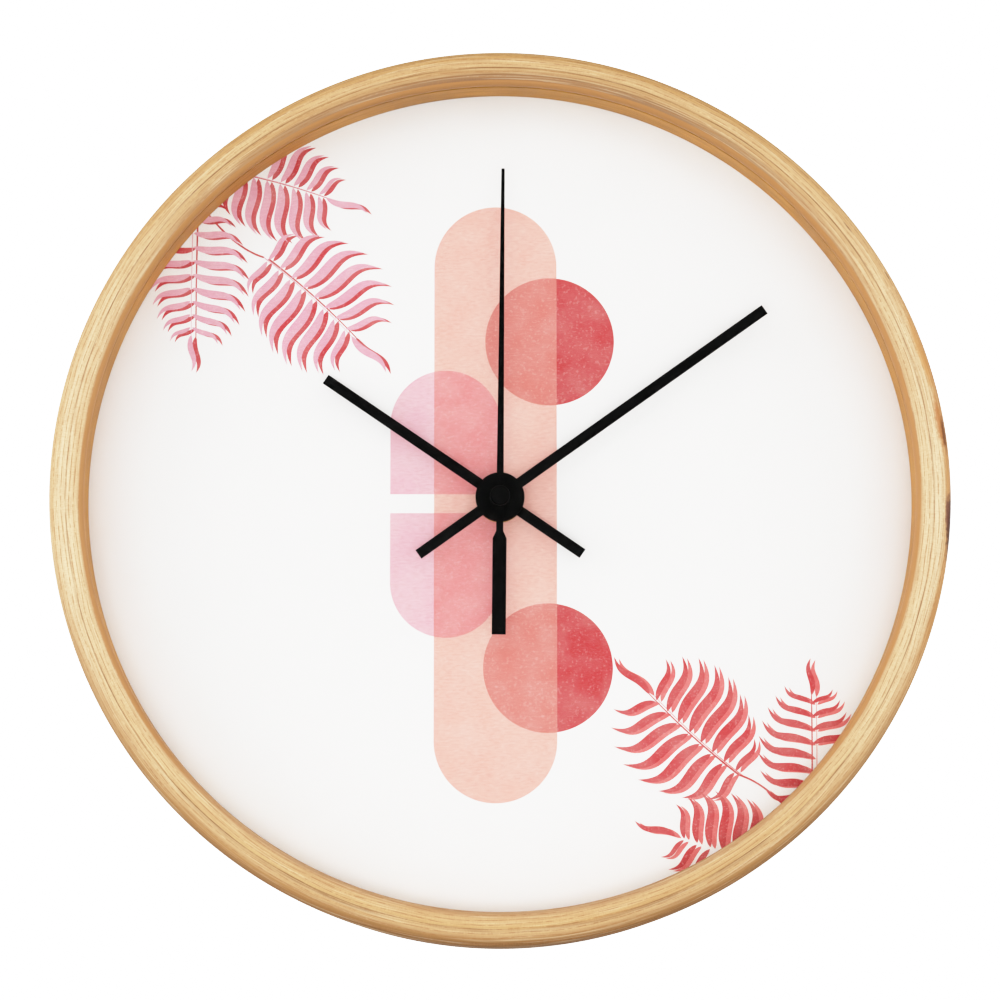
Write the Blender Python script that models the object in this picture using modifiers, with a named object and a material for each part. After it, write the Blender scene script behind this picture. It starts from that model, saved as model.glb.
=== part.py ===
"""A round quartz wall clock: a wooden hoop, a printed dial behind a clear lens, three hands, and the
movement that drives them.

Everything hangs from one empty, whose own frame is the clock face's: X to the right and Y up as a person
reads the dial, Z out of the wall towards that person, and zero at the hands' axis on the wall. Heights
below are distances from the wall. The empty turns that frame so that +Z is up and the dial faces -Y, and
lowers it so that the world's origin is where the nail enters the wall. Sizes are in metres.
"""

from math import asin, cos, degrees, pi, radians, sin

import bmesh
import bpy

# How close solids come, and how round they are
GAP = 0.0003  # between pieces that touch
LOOSE = 0.0002  # round a pivot
ROUND_STEPS = 72  # sides of the hoop and of what fits inside it
SMALL_STEPS = 20  # sides of small round pieces
PIVOT_STEPS = 10

# Hoop
HOOP_R = 0.127  # a 10 inch clock
HOOP_DEPTH = 0.042
REBATE_R = 0.1195
LIP_R = 0.117
LIP_DEPTH = 0.003
OUTER_ROUND = 0.004
INNER_ROUND = 0.002
BACK_CHAMFER = 0.001
NAIL_ABOVE_AXIS = 0.090

# Sheets inside the hoop, by their front faces and thicknesses
INSERT_R = REBATE_R - GAP
LENS_FRONT = HOOP_DEPTH - LIP_DEPTH - GAP
LENS_REAR = LENS_FRONT - 0.0016
DIAL_FRONT = HOOP_DEPTH - 0.017
DIAL_REAR = DIAL_FRONT - 0.0008
BOARD_FRONT = DIAL_REAR - GAP
BOARD_REAR = BOARD_FRONT - 0.003
PANEL_REAR = 0.0035
PANEL_FRONT = PANEL_REAR + 0.0025
PANEL_WINDOW = 0.062  # the square hole round the movement
PANEL_CORNER = 0.004

# Blocks that hold the panel, and screws
BLOCK_FROM_AXIS = 0.111
BLOCK_RADIAL = 0.011
BLOCK_ACROSS = 0.016
BLOCK_ANGLES = (45, 135, 225, 315)
SCREW_HOLE_R = 0.0016
SHANK_R = 0.0012
HEAD_R = 0.0026
HEAD_HEIGHT = 0.0013
SLOT_WIDTH = 0.0007

# Keyhole hanger
HANGER_WIDTH = 0.044
HANGER_HEIGHT = 0.024
HANGER_BELOW_NAIL = 0.004  # from the nail down to the plate's middle
HANGER_THICKNESS = 0.001
HANGER_SCREW_X = 0.017
KEY_SLOT_R = 0.0024
KEY_ENTRY_R = 0.0048
KEY_LENGTH = 0.008  # from the middle of the entry up to the middle of the slot's top
KEY_CLEARANCE_R = 0.006

# Movement case, its cover and what goes through the dial
CASE_HALF = 0.028
CASE_WALL = 0.0014
CASE_CORNER = 0.0015
GASKET_REAR = BOARD_REAR - GAP - 0.0007
CASE_FRONT = GASKET_REAR - GAP
CASE_INSIDE = CASE_FRONT - CASE_WALL
COVER_REAR = 0.004
COVER_FRONT = COVER_REAR + 0.0014
CASE_REAR = COVER_FRONT + GAP
ROOM_HALF = CASE_HALF - CASE_WALL
TRAIN_FLOOR = -0.0102  # the gear room's lower wall
BAY_TOP = -0.0110  # the battery bay's upper wall
BUSH_R = 0.0040
BUSH_BORE_R = 0.0029
BUSH_FLANGE_R = 0.0065
BUSH_HOLE_R = BUSH_R + GAP
BUSH_FLANGE = 0.0005
BUSH_STOPS_BELOW_HAND = 0.0014
WASHER_R = 0.0066
WASHER_THICKNESS = 0.0005
NUT_FLATS = 0.011
NUT_HEIGHT = 0.0021
GASKET_R, GASKET_HOLE_R = 0.013, 0.0069

# Plates that carry the pivots
MIDDLE_PLATE = (0.0135, 0.0145)
REAR_PLATE = (0.0069, 0.0077)
PLATE_X = (-0.0245, 0.0215)
PLATE_Y = (-0.0092, 0.0175)
POST_R = 0.0012
POSTS = ((-0.0230, 0.0085), (0.0200, 0.0150), (0.0200, -0.0075), (-0.0135, -0.0075))
REAR_PIVOT_END = 0.0072
MIDDLE_PIVOT_END = 0.0142
FRONT_PIVOT_END = CASE_INSIDE + 0.0006
BLIND_HOLE = 0.0009

# Gears: teeth and modules. The second hand's train, then the motion work.
ADDENDUM, DEDENDUM = 1.0, 1.35  # in modules
WHEEL_ROOT, WHEEL_TIP = 0.46, 0.20  # widths of a tooth, as shares of the pitch
PINION_ROOT, PINION_TIP = 0.42, 0.16
ROTOR_TEETH, FIFTH_TEETH, ROTOR_MODULE = 8, 48, 0.00030
FIFTH_PINION, SECOND_TEETH, FIFTH_MODULE = 8, 40, 0.00045
THIRD_PINION, CENTRE_TEETH, THIRD_MODULE = 8, 64, 0.00030
SECOND_PINION, THIRD_TEETH = 8, 60
CANNON_TEETH, WORKS_TEETH, MOTION_MODULE = 10, 30, 0.00050
WORKS_PINION, HOUR_TEETH = 8, 32
KNOB_TEETH = 12

# Where gears lie, as heights above the wall. A wheel's leaves, its pinion, start inside the wheel.
ROTOR_PINION = (0.0080, 0.0092)
ROTOR_SLEEVE = (0.0090, 0.0126)
MAGNET = (0.0098, 0.0118)
FIFTH_WHEEL, FIFTH_LEAVES = (0.0083, 0.0089), (0.0088, 0.0106)
SECOND_WHEEL, SECOND_LEAVES = (0.0096, 0.0102), (0.0101, 0.0117)
THIRD_WHEEL, THIRD_LEAVES = (0.0109, 0.0115), (0.0114, 0.0132)
CENTRE_WHEEL, CENTRE_SLEEVE = (0.0123, 0.0129), (0.0120, 0.0132)
CANNON_PINION = (0.0148, 0.0160)
WORKS_WHEEL, WORKS_LEAVES = (0.0150, 0.0157), (0.0156, 0.0176)
HOUR_WHEEL = (0.0166, 0.0173)
THROUGH = (0.0100, 0.0400)  # past both ends of any pipe

# Arbors and pipes
ROTOR_SLEEVE_R = 0.0010
ROTOR_PIVOT_R = 0.0004
FIFTH_PIVOT_R = 0.00045
PIVOT_R = 0.0005
CENTRE_SLEEVE_R = 0.0030
KNOB_STEM_R = 0.0010
MINUTE_PIPE_REAR = 0.0120
MINUTE_PIPE_PAST_HAND = 0.0016
HOUR_PIPE_PAST_HAND = 0.0010
SECOND_ARBOR_PAST_HAND = 0.0013

# Setting knob
KNOB_DISC = (0.0014, 0.0036)
KNOB_STEM_REAR = 0.0030
KNOB_R, KNOB_GROOVE, KNOB_RIDGES = 0.0052, 0.0003, 18

# Directions from one arbor to the next, anticlockwise from the right as the dial is read, in degrees
THIRD_DIRECTION = 30
FIFTH_DIRECTION = 100
ROTOR_DIRECTION = 150
WORKS_DIRECTION = 170
KNOB_DIRECTION = 190

# Hands. Angles are clockwise from twelve, in degrees, at 10:09. The hour hand was pressed on a little low.
MINUTE_ANGLE = 54.4
HOUR_ANGLE = 270 + 30 + MINUTE_ANGLE / 12 - 0.3
SECOND_ANGLE = 0.5
HAND_HALF_WIDTH = 0.00147
HAND_THICKNESS = 0.0006
HAND_TAIL = 0.0283
HOUR_LENGTH = 0.0601
MINUTE_LENGTH = 0.0925
HUB_R = 0.00695
HOUR_HAND_REAR = 0.0302
MINUTE_HAND_REAR = 0.0322
SECOND_HAND_REAR = 0.0346
SECOND_LENGTH = 0.0940
SECOND_ROOT_HALF, SECOND_TIP_HALF = 0.00100, 0.00047
SECOND_THICKNESS = 0.0005
SECOND_HUB_R = 0.0030
SECOND_CAP_HEIGHT = 0.0019
SECOND_TAIL = 0.0393
SECOND_NECK_END = 0.0100
SECOND_WEIGHT_START = 0.0121
SECOND_WEIGHT_HALF = 0.00198
HOUR_COLLET = (0.0042, 0.0010)  # radius, and how far it reaches behind the hand
MINUTE_COLLET = (0.0030, 0.0008)
HAND_NUT_R, HAND_NUT_HEIGHT = 0.0025, 0.0009
HOUR_PIPE_R, HOUR_PIPE_BORE_R = 0.0026, 0.0018
MINUTE_PIPE_R, MINUTE_PIPE_BORE_R = 0.0015, 0.0009
SECOND_ARBOR_R = 0.00055

# Motor
MAGNET_R = 0.0024
STATOR_HOLE_R = 0.0029
STATOR = (0.0102, 0.0109)
CORE = (0.0112, 0.0119)
COIL_Y = 0.0224
COIL_X = (-0.0158, -0.0007)
COIL_FLANGE_HALF = 0.0037
COIL_FLANGE_WIDTH = 0.0008
COIL_BARREL_R = 0.0024
COIL_R = 0.0034

# Battery, size AA, and its contacts
BATTERY_R = 0.0071
BATTERY_Y = (BAY_TOP - ROOM_HALF) / 2
BATTERY_HEIGHT = CASE_INSIDE - GAP - BATTERY_R
BATTERY_ENDS = (-0.0250, 0.0240)
NUB_R, NUB_LENGTH = 0.0027, 0.0011
CONTACT_HALF_WIDTH = 0.0060
CONTACT_THICKNESS = 0.0005
CONTACT_SPRING_R = 0.0025

# Electronics
BOARD_X, BOARD_Y = (0.0055, 0.0255), (0.0080, 0.0260)
BOARD_THICKNESS = 0.0008
CRYSTAL_R, CRYSTAL_X, CRYSTAL_Y = 0.0010, (0.0090, 0.0152), 0.0230
CHIP_AT = (0.0205, 0.0222)
CHIP_R, CHIP_HEIGHT = 0.0021, 0.0010

MATERIALS = {
    "wood": ((0.78, 0.60, 0.36), 0.55, 0.0),
    "inner_wood": ((0.56, 0.34, 0.17), 0.60, 0.0),
    "acrylic": ((0.95, 0.97, 0.97), 0.05, 0.0),
    "dial_white": ((0.92, 0.91, 0.90), 0.70, 0.0),
    "fibreboard": ((0.42, 0.28, 0.16), 0.85, 0.0),
    "black_enamel": ((0.012, 0.012, 0.012), 0.40, 0.3),
    "steel": ((0.60, 0.60, 0.60), 0.35, 1.0),
    "brass": ((0.72, 0.54, 0.22), 0.35, 1.0),
    "black_plastic": ((0.025, 0.025, 0.027), 0.50, 0.0),
    "white_plastic": ((0.86, 0.85, 0.80), 0.45, 0.0),
    "rubber": ((0.03, 0.03, 0.03), 0.90, 0.0),
    "circuit_green": ((0.05, 0.22, 0.10), 0.50, 0.0),
    "copper": ((0.62, 0.27, 0.12), 0.35, 1.0),
    "battery_sleeve": ((0.10, 0.22, 0.42), 0.35, 0.2),
}


# The scene, and how a piece gets into it


def clear_scene():
    for obj in list(bpy.data.objects):
        bpy.data.objects.remove(obj)


def new_collection(name):
    collection = bpy.data.collections.new(name)
    bpy.context.scene.collection.children.link(collection)
    return collection


def material_named(name):
    found = bpy.data.materials.get(name)
    if found:
        return found
    colour, roughness, metallic = MATERIALS[name]
    made = bpy.data.materials.new(name)
    made.use_nodes = True
    shader = made.node_tree.nodes["Principled BSDF"]
    shader.inputs["Base Color"].default_value = (*colour, 1.0)
    shader.inputs["Roughness"].default_value = roughness
    shader.inputs["Metallic"].default_value = metallic
    return made


clear_scene()
PARTS = new_collection("wall_clock")
TOOLS = new_collection("wall_clock_tools")
FACE = bpy.data.objects.new("clock_face_frame", None)
FACE.location = (0, 0, -NAIL_ABOVE_AXIS)
FACE.rotation_euler = (radians(90), 0, 0)
PARTS.objects.link(FACE)


def add(name, data, material=None, at=(0, 0, 0), turn=(0, 0, 0)):
    """An object under the face's empty. One with no material is a tool, which the model leaves out."""
    obj = bpy.data.objects.new(name, data)
    obj.parent = FACE
    obj.location = at
    obj.rotation_euler = turn
    if material:
        data.materials.append(material_named(material))
        PARTS.objects.link(obj)
    else:
        TOOLS.objects.link(obj)
        obj.hide_render = True
        obj.display_type = "WIRE"
    return obj


def mesh_from(name, shape):
    mesh = bpy.data.meshes.new(name)
    shape.to_mesh(mesh)
    shape.free()
    mesh.shade_smooth()
    mesh.set_sharp_from_angle(angle=radians(35))
    return mesh


# Basic solids, all given by their heights above the wall


def rod(name, radius, low, high, material=None, at=(0, 0), sides=SMALL_STEPS, along="Z"):
    """A cylinder from low to high along Z at (x, y), or along X at (y, z)."""
    shape = bmesh.new()
    bmesh.ops.create_cone(
        shape, cap_ends=True, segments=sides, radius1=radius, radius2=radius, depth=high - low
    )
    middle = (low + high) / 2
    place, turn = ((*at, middle), (0, 0, 0)) if along == "Z" else ((middle, *at), (0, radians(90), 0))
    return add(name, mesh_from(name, shape), material, place, turn)


def block(name, x, y, z, material=None, turn=0.0, at=(0, 0)):
    """A box between pairs of limits. It can be turned about Z and then moved to (x, y)."""
    shape = bmesh.new()
    bmesh.ops.create_cube(shape, size=1.0)
    size = (x[1] - x[0], y[1] - y[0], z[1] - z[0])
    middle = ((x[0] + x[1]) / 2, (y[0] + y[1]) / 2, (z[0] + z[1]) / 2)
    bmesh.ops.scale(shape, vec=size, verts=shape.verts)
    bmesh.ops.translate(shape, vec=middle, verts=shape.verts)
    return add(name, mesh_from(name, shape), material, (*at, 0), (0, 0, turn))


def flat(name, outline, low, high, material=None, holes=(), at=(0, 0)):
    """A flat piece cut to an outline, with holes, made as a filled curve and then a mesh."""
    curve = bpy.data.curves.new(name, "CURVE")
    curve.dimensions = "2D"
    curve.fill_mode = "BOTH"
    curve.extrude = (high - low) / 2
    for loop in (outline, *holes):
        spline = curve.splines.new("POLY")
        spline.points.add(len(loop) - 1)
        for point, (x, y) in zip(spline.points, loop):
            point.co = (x, y, 0, 1)
        spline.use_cyclic_u = True
    guide = bpy.data.objects.new(name + "_outline", curve)
    TOOLS.objects.link(guide)
    bpy.context.view_layer.update()
    graph = bpy.context.evaluated_depsgraph_get()
    filled = bpy.data.meshes.new_from_object(guide.evaluated_get(graph))
    bpy.data.objects.remove(guide)
    shape = bmesh.new()
    shape.from_mesh(filled)
    bmesh.ops.remove_doubles(shape, verts=shape.verts, dist=1e-7)
    bmesh.ops.recalc_face_normals(shape, faces=shape.faces)
    return add(name, mesh_from(name, shape), material, (*at, (low + high) / 2))


def turned(name, profile, material=None, at=(0, 0), steps=SMALL_STEPS, closed=True):
    """A turned piece. The profile is (radius, height), down its outer side and, when closed, up its bore."""
    mesh = bpy.data.meshes.new(name)
    points = [(radius, 0, height) for radius, height in profile]
    edges = [(i, i + 1) for i in range(len(points) - 1)]
    if closed:
        edges.append((len(points) - 1, 0))
    mesh.from_pydata(points, edges, [])
    obj = add(name, mesh, material, (*at, 0))
    screw = obj.modifiers.new("turn", "SCREW")
    screw.steps = screw.render_steps = steps
    screw.use_merge_vertices = True
    screw.merge_threshold = 1e-6
    screw.use_smooth_shade = True
    return obj


def circle(radius, sides=SMALL_STEPS, at=(0, 0)):
    turns = [2 * pi * i / sides for i in range(sides)]
    return [(at[0] + radius * cos(t), at[1] + radius * sin(t)) for t in turns]


def arc(centre, radius, start, end, sides):
    """Points on an arc, from one angle in degrees to another, both ends included."""
    turns = [radians(start + (end - start) * i / sides) for i in range(sides + 1)]
    return [(centre[0] + radius * cos(t), centre[1] + radius * sin(t)) for t in turns]


def rounded_square(half, corner, sides=3):
    inner = half - corner
    points = []
    for start, (x, y) in zip((0, 90, 180, 270), ((1, 1), (-1, 1), (-1, -1), (1, -1))):
        points += arc((x * inner, y * inner), corner, start, start + 90, sides)
    return points


def rectangle(x, y):
    return [(x[0], y[0]), (x[1], y[0]), (x[1], y[1]), (x[0], y[1])]


def boolean(target, tool, operation):
    step = target.modifiers.new(tool.name, "BOOLEAN")
    step.operation = operation
    step.solver = "EXACT"
    step.object = tool
    return target


def cut(target, tool):
    return boolean(target, tool, "DIFFERENCE")


def fuse(target, tool):
    return boolean(target, tool, "UNION")


def polar(distance, degrees):
    return (distance * cos(radians(degrees)), distance * sin(radians(degrees)))


def beyond(point, distance, degrees):
    step = polar(distance, degrees)
    return (point[0] + step[0], point[1] + step[1])


# Gears


def gear_outline(teeth, module, phase, root_share, tip_share):
    """Straight-sided teeth, the first one centred on phase."""
    pitch_r = teeth * module / 2
    root_r, tip_r = pitch_r - DEDENDUM * module, pitch_r + ADDENDUM * module
    pitch = 2 * pi / teeth
    corners = (
        (root_r, -root_share / 2),
        (tip_r, -tip_share / 2),
        (tip_r, tip_share / 2),
        (root_r, root_share / 2),
    )
    points = []
    for tooth in range(teeth):
        for radius, share in corners:
            turn = phase + pitch * (tooth + share)
            points.append((radius * cos(turn), radius * sin(turn)))
    return points


def wheel_outline(teeth, module, phase=0.0):
    return gear_outline(teeth, module, phase, WHEEL_ROOT, WHEEL_TIP)


def pinion_outline(teeth, module, phase=0.0):
    return gear_outline(teeth, module, phase, PINION_ROOT, PINION_TIP)


def meshing_phase(phase, teeth, other_teeth, degrees):
    """The phase that puts a gap of the other gear where this gear has a tooth, seen in that direction."""
    line = radians(degrees)
    offset = (phase - line) / (2 * pi / teeth)
    return line + pi - (offset + 0.5) * 2 * pi / other_teeth


THIRD_DISTANCE = (THIRD_PINION + CENTRE_TEETH) * THIRD_MODULE / 2
SECOND_MODULE = 2 * THIRD_DISTANCE / (SECOND_PINION + THIRD_TEETH)
FIFTH_DISTANCE = (FIFTH_PINION + SECOND_TEETH) * FIFTH_MODULE / 2
ROTOR_DISTANCE = (ROTOR_TEETH + FIFTH_TEETH) * ROTOR_MODULE / 2
WORKS_DISTANCE = (CANNON_TEETH + WORKS_TEETH) * MOTION_MODULE / 2
KNOB_DISTANCE = (KNOB_TEETH + WORKS_TEETH) * MOTION_MODULE / 2
CENTRE_AT = (0, 0)
THIRD_AT = polar(THIRD_DISTANCE, THIRD_DIRECTION)
FIFTH_AT = polar(FIFTH_DISTANCE, FIFTH_DIRECTION)
ROTOR_AT = beyond(FIFTH_AT, ROTOR_DISTANCE, ROTOR_DIRECTION)
WORKS_AT = polar(WORKS_DISTANCE, WORKS_DIRECTION)
KNOB_AT = beyond(WORKS_AT, KNOB_DISTANCE, KNOB_DIRECTION)


def wheel_and_pinion(name, at, wheel, pinion, arbors, material, bore_r=None):
    """A wheel and its pinion on one arbor. wheel and pinion are (outline, low, high), arbors are
    (radius, low, high), and bore_r is the radius of a hole right through."""
    gear = flat(name, wheel[0], wheel[1], wheel[2], material, at=at)
    if pinion:
        fuse(gear, flat(name + "_leaves", pinion[0], pinion[1], pinion[2], at=at))
    for number, (radius, low, high) in enumerate(arbors):
        sides = PIVOT_STEPS if radius < HOUR_PIPE_R else SMALL_STEPS
        fuse(gear, rod(f"{name}_arbor_{number}", radius, low, high, at=at, sides=sides))
    if bore_r:
        cut(gear, rod(name + "_bore", bore_r, *THROUGH, at=at, sides=PIVOT_STEPS))
    return gear


def second_train():
    """From the rotor to the centre wheel: five turning pieces, each driving the next through its pinion."""
    fifth_mesh = meshing_phase(radians(FIFTH_DIRECTION), SECOND_TEETH, FIFTH_PINION, FIFTH_DIRECTION)
    rotor_mesh = meshing_phase(radians(ROTOR_DIRECTION), FIFTH_TEETH, ROTOR_TEETH, ROTOR_DIRECTION)
    third_wheel_mesh = meshing_phase(
        radians(THIRD_DIRECTION), SECOND_PINION, THIRD_TEETH, THIRD_DIRECTION
    )
    third_pinion_mesh = meshing_phase(
        radians(THIRD_DIRECTION), CENTRE_TEETH, THIRD_PINION, THIRD_DIRECTION
    )
    rotor_outline = pinion_outline(ROTOR_TEETH, ROTOR_MODULE, rotor_mesh)
    wheel_and_pinion(
        "rotor_pinion",
        ROTOR_AT,
        (rotor_outline, *ROTOR_PINION),
        None,
        [(ROTOR_SLEEVE_R, *ROTOR_SLEEVE), (ROTOR_PIVOT_R, REAR_PIVOT_END, MIDDLE_PIVOT_END)],
        "white_plastic",
    )
    magnet_holes = [circle(ROTOR_SLEEVE_R + GAP, PIVOT_STEPS)]
    flat("rotor_magnet", circle(MAGNET_R), *MAGNET, "steel", magnet_holes, ROTOR_AT)

    wheel_and_pinion(
        "fifth_wheel",
        FIFTH_AT,
        (wheel_outline(FIFTH_TEETH, ROTOR_MODULE, radians(ROTOR_DIRECTION)), *FIFTH_WHEEL),
        (pinion_outline(FIFTH_PINION, FIFTH_MODULE, fifth_mesh), *FIFTH_LEAVES),
        [(FIFTH_PIVOT_R, REAR_PIVOT_END, MIDDLE_PIVOT_END)],
        "white_plastic",
    )
    wheel_and_pinion(
        "second_wheel",
        CENTRE_AT,
        (wheel_outline(SECOND_TEETH, FIFTH_MODULE, radians(FIFTH_DIRECTION)), *SECOND_WHEEL),
        (pinion_outline(SECOND_PINION, SECOND_MODULE, radians(THIRD_DIRECTION)), *SECOND_LEAVES),
        [(SECOND_ARBOR_R, REAR_PIVOT_END, SECOND_HAND_REAR + SECOND_ARBOR_PAST_HAND)],
        "white_plastic",
    )
    wheel_and_pinion(
        "third_wheel",
        THIRD_AT,
        (wheel_outline(THIRD_TEETH, SECOND_MODULE, third_wheel_mesh), *THIRD_WHEEL),
        (pinion_outline(THIRD_PINION, THIRD_MODULE, third_pinion_mesh), *THIRD_LEAVES),
        [(PIVOT_R, REAR_PIVOT_END, MIDDLE_PIVOT_END)],
        "white_plastic",
    )
    wheel_and_pinion(
        "centre_wheel",
        CENTRE_AT,
        (wheel_outline(CENTRE_TEETH, THIRD_MODULE, radians(THIRD_DIRECTION)), *CENTRE_WHEEL),
        None,
        [(CENTRE_SLEEVE_R, *CENTRE_SLEEVE)],
        "white_plastic",
        bore_r=MINUTE_PIPE_R + GAP,
    )


def motion_work():
    """From the minute pipe to the hour wheel, and the knob that sets them."""
    works_mesh = meshing_phase(radians(WORKS_DIRECTION), CANNON_TEETH, WORKS_TEETH, WORKS_DIRECTION)
    knob_mesh = meshing_phase(works_mesh, WORKS_TEETH, KNOB_TEETH, KNOB_DIRECTION)
    works_pinion_mesh = meshing_phase(
        radians(WORKS_DIRECTION), HOUR_TEETH, WORKS_PINION, WORKS_DIRECTION
    )
    minute_pipe = flat(
        "minute_pipe",
        pinion_outline(CANNON_TEETH, MOTION_MODULE, radians(WORKS_DIRECTION)),
        *CANNON_PINION,
        "brass",
    )
    pipe_end = MINUTE_HAND_REAR + MINUTE_PIPE_PAST_HAND
    fuse(minute_pipe, rod("minute_pipe_tube", MINUTE_PIPE_R, MINUTE_PIPE_REAR, pipe_end, sides=16))
    cut(minute_pipe, rod("minute_pipe_bore", MINUTE_PIPE_BORE_R, *THROUGH, sides=PIVOT_STEPS))

    wheel_and_pinion(
        "minute_works_wheel",
        WORKS_AT,
        (wheel_outline(WORKS_TEETH, MOTION_MODULE, works_mesh), *WORKS_WHEEL),
        (pinion_outline(WORKS_PINION, MOTION_MODULE, works_pinion_mesh), *WORKS_LEAVES),
        [(PIVOT_R, MIDDLE_PLATE[0] + GAP, FRONT_PIVOT_END)],
        "white_plastic",
    )
    hour_end = HOUR_HAND_REAR + HOUR_PIPE_PAST_HAND
    wheel_and_pinion(
        "hour_wheel",
        CENTRE_AT,
        (wheel_outline(HOUR_TEETH, MOTION_MODULE, radians(WORKS_DIRECTION)), *HOUR_WHEEL),
        None,
        [(HOUR_PIPE_R, HOUR_WHEEL[0] + 0.0001, hour_end)],
        "white_plastic",
        bore_r=HOUR_PIPE_BORE_R,
    )
    knob = wheel_and_pinion(
        "setting_knob",
        KNOB_AT,
        (pinion_outline(KNOB_TEETH, MOTION_MODULE, knob_mesh), *CANNON_PINION),
        None,
        [(KNOB_STEM_R, KNOB_STEM_REAR, FRONT_PIVOT_END)],
        "black_plastic",
    )
    fuse(knob, flat("knob_disc", knurled(KNOB_R, KNOB_GROOVE, KNOB_RIDGES), *KNOB_DISC, at=KNOB_AT))


def knurled(radius, depth, ridges):
    """A circle with shallow grooves round it."""
    points = []
    for ridge in range(ridges):
        for share, dip in ((0.0, 0.0), (0.5, 0.0), (0.6, depth), (0.9, depth)):
            turn = 2 * pi * (ridge + share) / ridges
            points.append(((radius - dip) * cos(turn), (radius - dip) * sin(turn)))
    return points


# Frame and sheets


def hoop():
    outer = arc((HOOP_R - OUTER_ROUND, HOOP_DEPTH - OUTER_ROUND), OUTER_ROUND, 90, 0, 4)
    inner = arc((LIP_R + INNER_ROUND, HOOP_DEPTH - INNER_ROUND), INNER_ROUND, 180, 90, 3)
    back = [(HOOP_R, BACK_CHAMFER), (HOOP_R - BACK_CHAMFER, 0)]
    rebate = [(REBATE_R, 0), (REBATE_R, HOOP_DEPTH - LIP_DEPTH), (LIP_R, HOOP_DEPTH - LIP_DEPTH)]
    turned("frame_hoop", outer + back + rebate + inner, "wood", steps=ROUND_STEPS)


def sheets():
    edge = circle(INSERT_R, ROUND_STEPS)
    stem_hole = [circle(BUSH_HOLE_R)]
    flat("lens", edge, LENS_REAR, LENS_FRONT, "acrylic")
    inside = [circle(LIP_R + 0.0002, ROUND_STEPS)]
    flat("spacer_ring", edge, DIAL_FRONT + GAP, LENS_REAR - GAP, "inner_wood", inside)
    flat("dial", edge, DIAL_REAR, DIAL_FRONT, "dial_white", stem_hole)
    flat("dial_board", edge, BOARD_REAR, BOARD_FRONT, "fibreboard", stem_hole)
    screw_holes = [
        circle(SCREW_HOLE_R, PIVOT_STEPS, polar(BLOCK_FROM_AXIS, angle)) for angle in BLOCK_ANGLES
    ]
    hanger_holes = [
        circle(SCREW_HOLE_R, PIVOT_STEPS, (x, NAIL_ABOVE_AXIS)) for x in (-HANGER_SCREW_X, HANGER_SCREW_X)
    ]
    window = [rounded_square(PANEL_WINDOW / 2, PANEL_CORNER)]
    nail_room = [capsule(KEY_CLEARANCE_R, NAIL_ABOVE_AXIS - KEY_LENGTH, NAIL_ABOVE_AXIS)]
    holes = window + nail_room + screw_holes + hanger_holes
    flat("back_panel", edge, PANEL_REAR, PANEL_FRONT, "fibreboard", holes)


def capsule(radius, low, high, sides=10):
    """An upright slot with round ends, centred on low and high."""
    return arc((0, high), radius, 0, 180, sides) + arc((0, low), radius, 180, 360, sides)


def screw(name, at, head_rear, length):
    """A pan head screw, driven from behind. It points away from the wall."""
    head_front = head_rear + HEAD_HEIGHT
    tip = head_front + length
    profile = [
        (0, tip),
        (SHANK_R, tip - 0.001),
        (SHANK_R, head_front),
        (HEAD_R, head_front),
        (HEAD_R, head_rear + 0.0005),
        (HEAD_R - 0.0008, head_rear),
        (0, head_rear),
    ]
    body = turned(name, profile, "steel", at, steps=12, closed=False)
    depth = (head_rear - 0.001, head_rear + 0.0007)
    long, short = (-HEAD_R * 0.6, HEAD_R * 0.6), (-SLOT_WIDTH / 2, SLOT_WIDTH / 2)
    slot = block(name + "_slot", long, short, depth, at=at)
    cross = block(name + "_cross", short, long, depth, at=at)
    cut(body, fuse(slot, cross))


def blocks_and_screws():
    for number, angle in enumerate(BLOCK_ANGLES, start=1):
        x = (BLOCK_FROM_AXIS - BLOCK_RADIAL / 2, BLOCK_FROM_AXIS + BLOCK_RADIAL / 2)
        y = (-BLOCK_ACROSS / 2, BLOCK_ACROSS / 2)
        z = (PANEL_FRONT + GAP, BOARD_REAR - GAP)
        holder = block(f"glue_block_{number}", x, y, z, "wood", turn=radians(angle))
        place = polar(BLOCK_FROM_AXIS, angle)
        hole = rod(f"block_hole_{number}", SHANK_R + GAP, 0, 0.018, at=place, sides=PIVOT_STEPS)
        cut(holder, hole)
        screw(f"panel_screw_{number}", place, PANEL_REAR - GAP - HEAD_HEIGHT, 0.011)


def hanger():
    front = PANEL_REAR - GAP
    half = HANGER_WIDTH / 2
    middle = NAIL_ABOVE_AXIS - HANGER_BELOW_NAIL
    corner_y = (middle - HANGER_HEIGHT / 2, middle + HANGER_HEIGHT / 2)
    low, high = NAIL_ABOVE_AXIS - KEY_LENGTH, NAIL_ABOVE_AXIS
    spread = degrees(asin(KEY_SLOT_R / KEY_ENTRY_R))
    keyhole = arc((0, high), KEY_SLOT_R, 0, 180, 8)
    keyhole += arc((0, low), KEY_ENTRY_R, 90 + spread, 450 - spread, 16)
    screw_holes = [circle(SCREW_HOLE_R, PIVOT_STEPS, (x, high)) for x in (-HANGER_SCREW_X, HANGER_SCREW_X)]
    outline = rectangle((-half, half), corner_y)
    rear = front - HANGER_THICKNESS
    flat("hanger_plate", outline, rear, front, "steel", [keyhole, *screw_holes])
    for side, x in (("left", -HANGER_SCREW_X), ("right", HANGER_SCREW_X)):
        screw(f"hanger_screw_{side}", (x, high), rear - GAP - HEAD_HEIGHT, 0.0045)


# Movement


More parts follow.
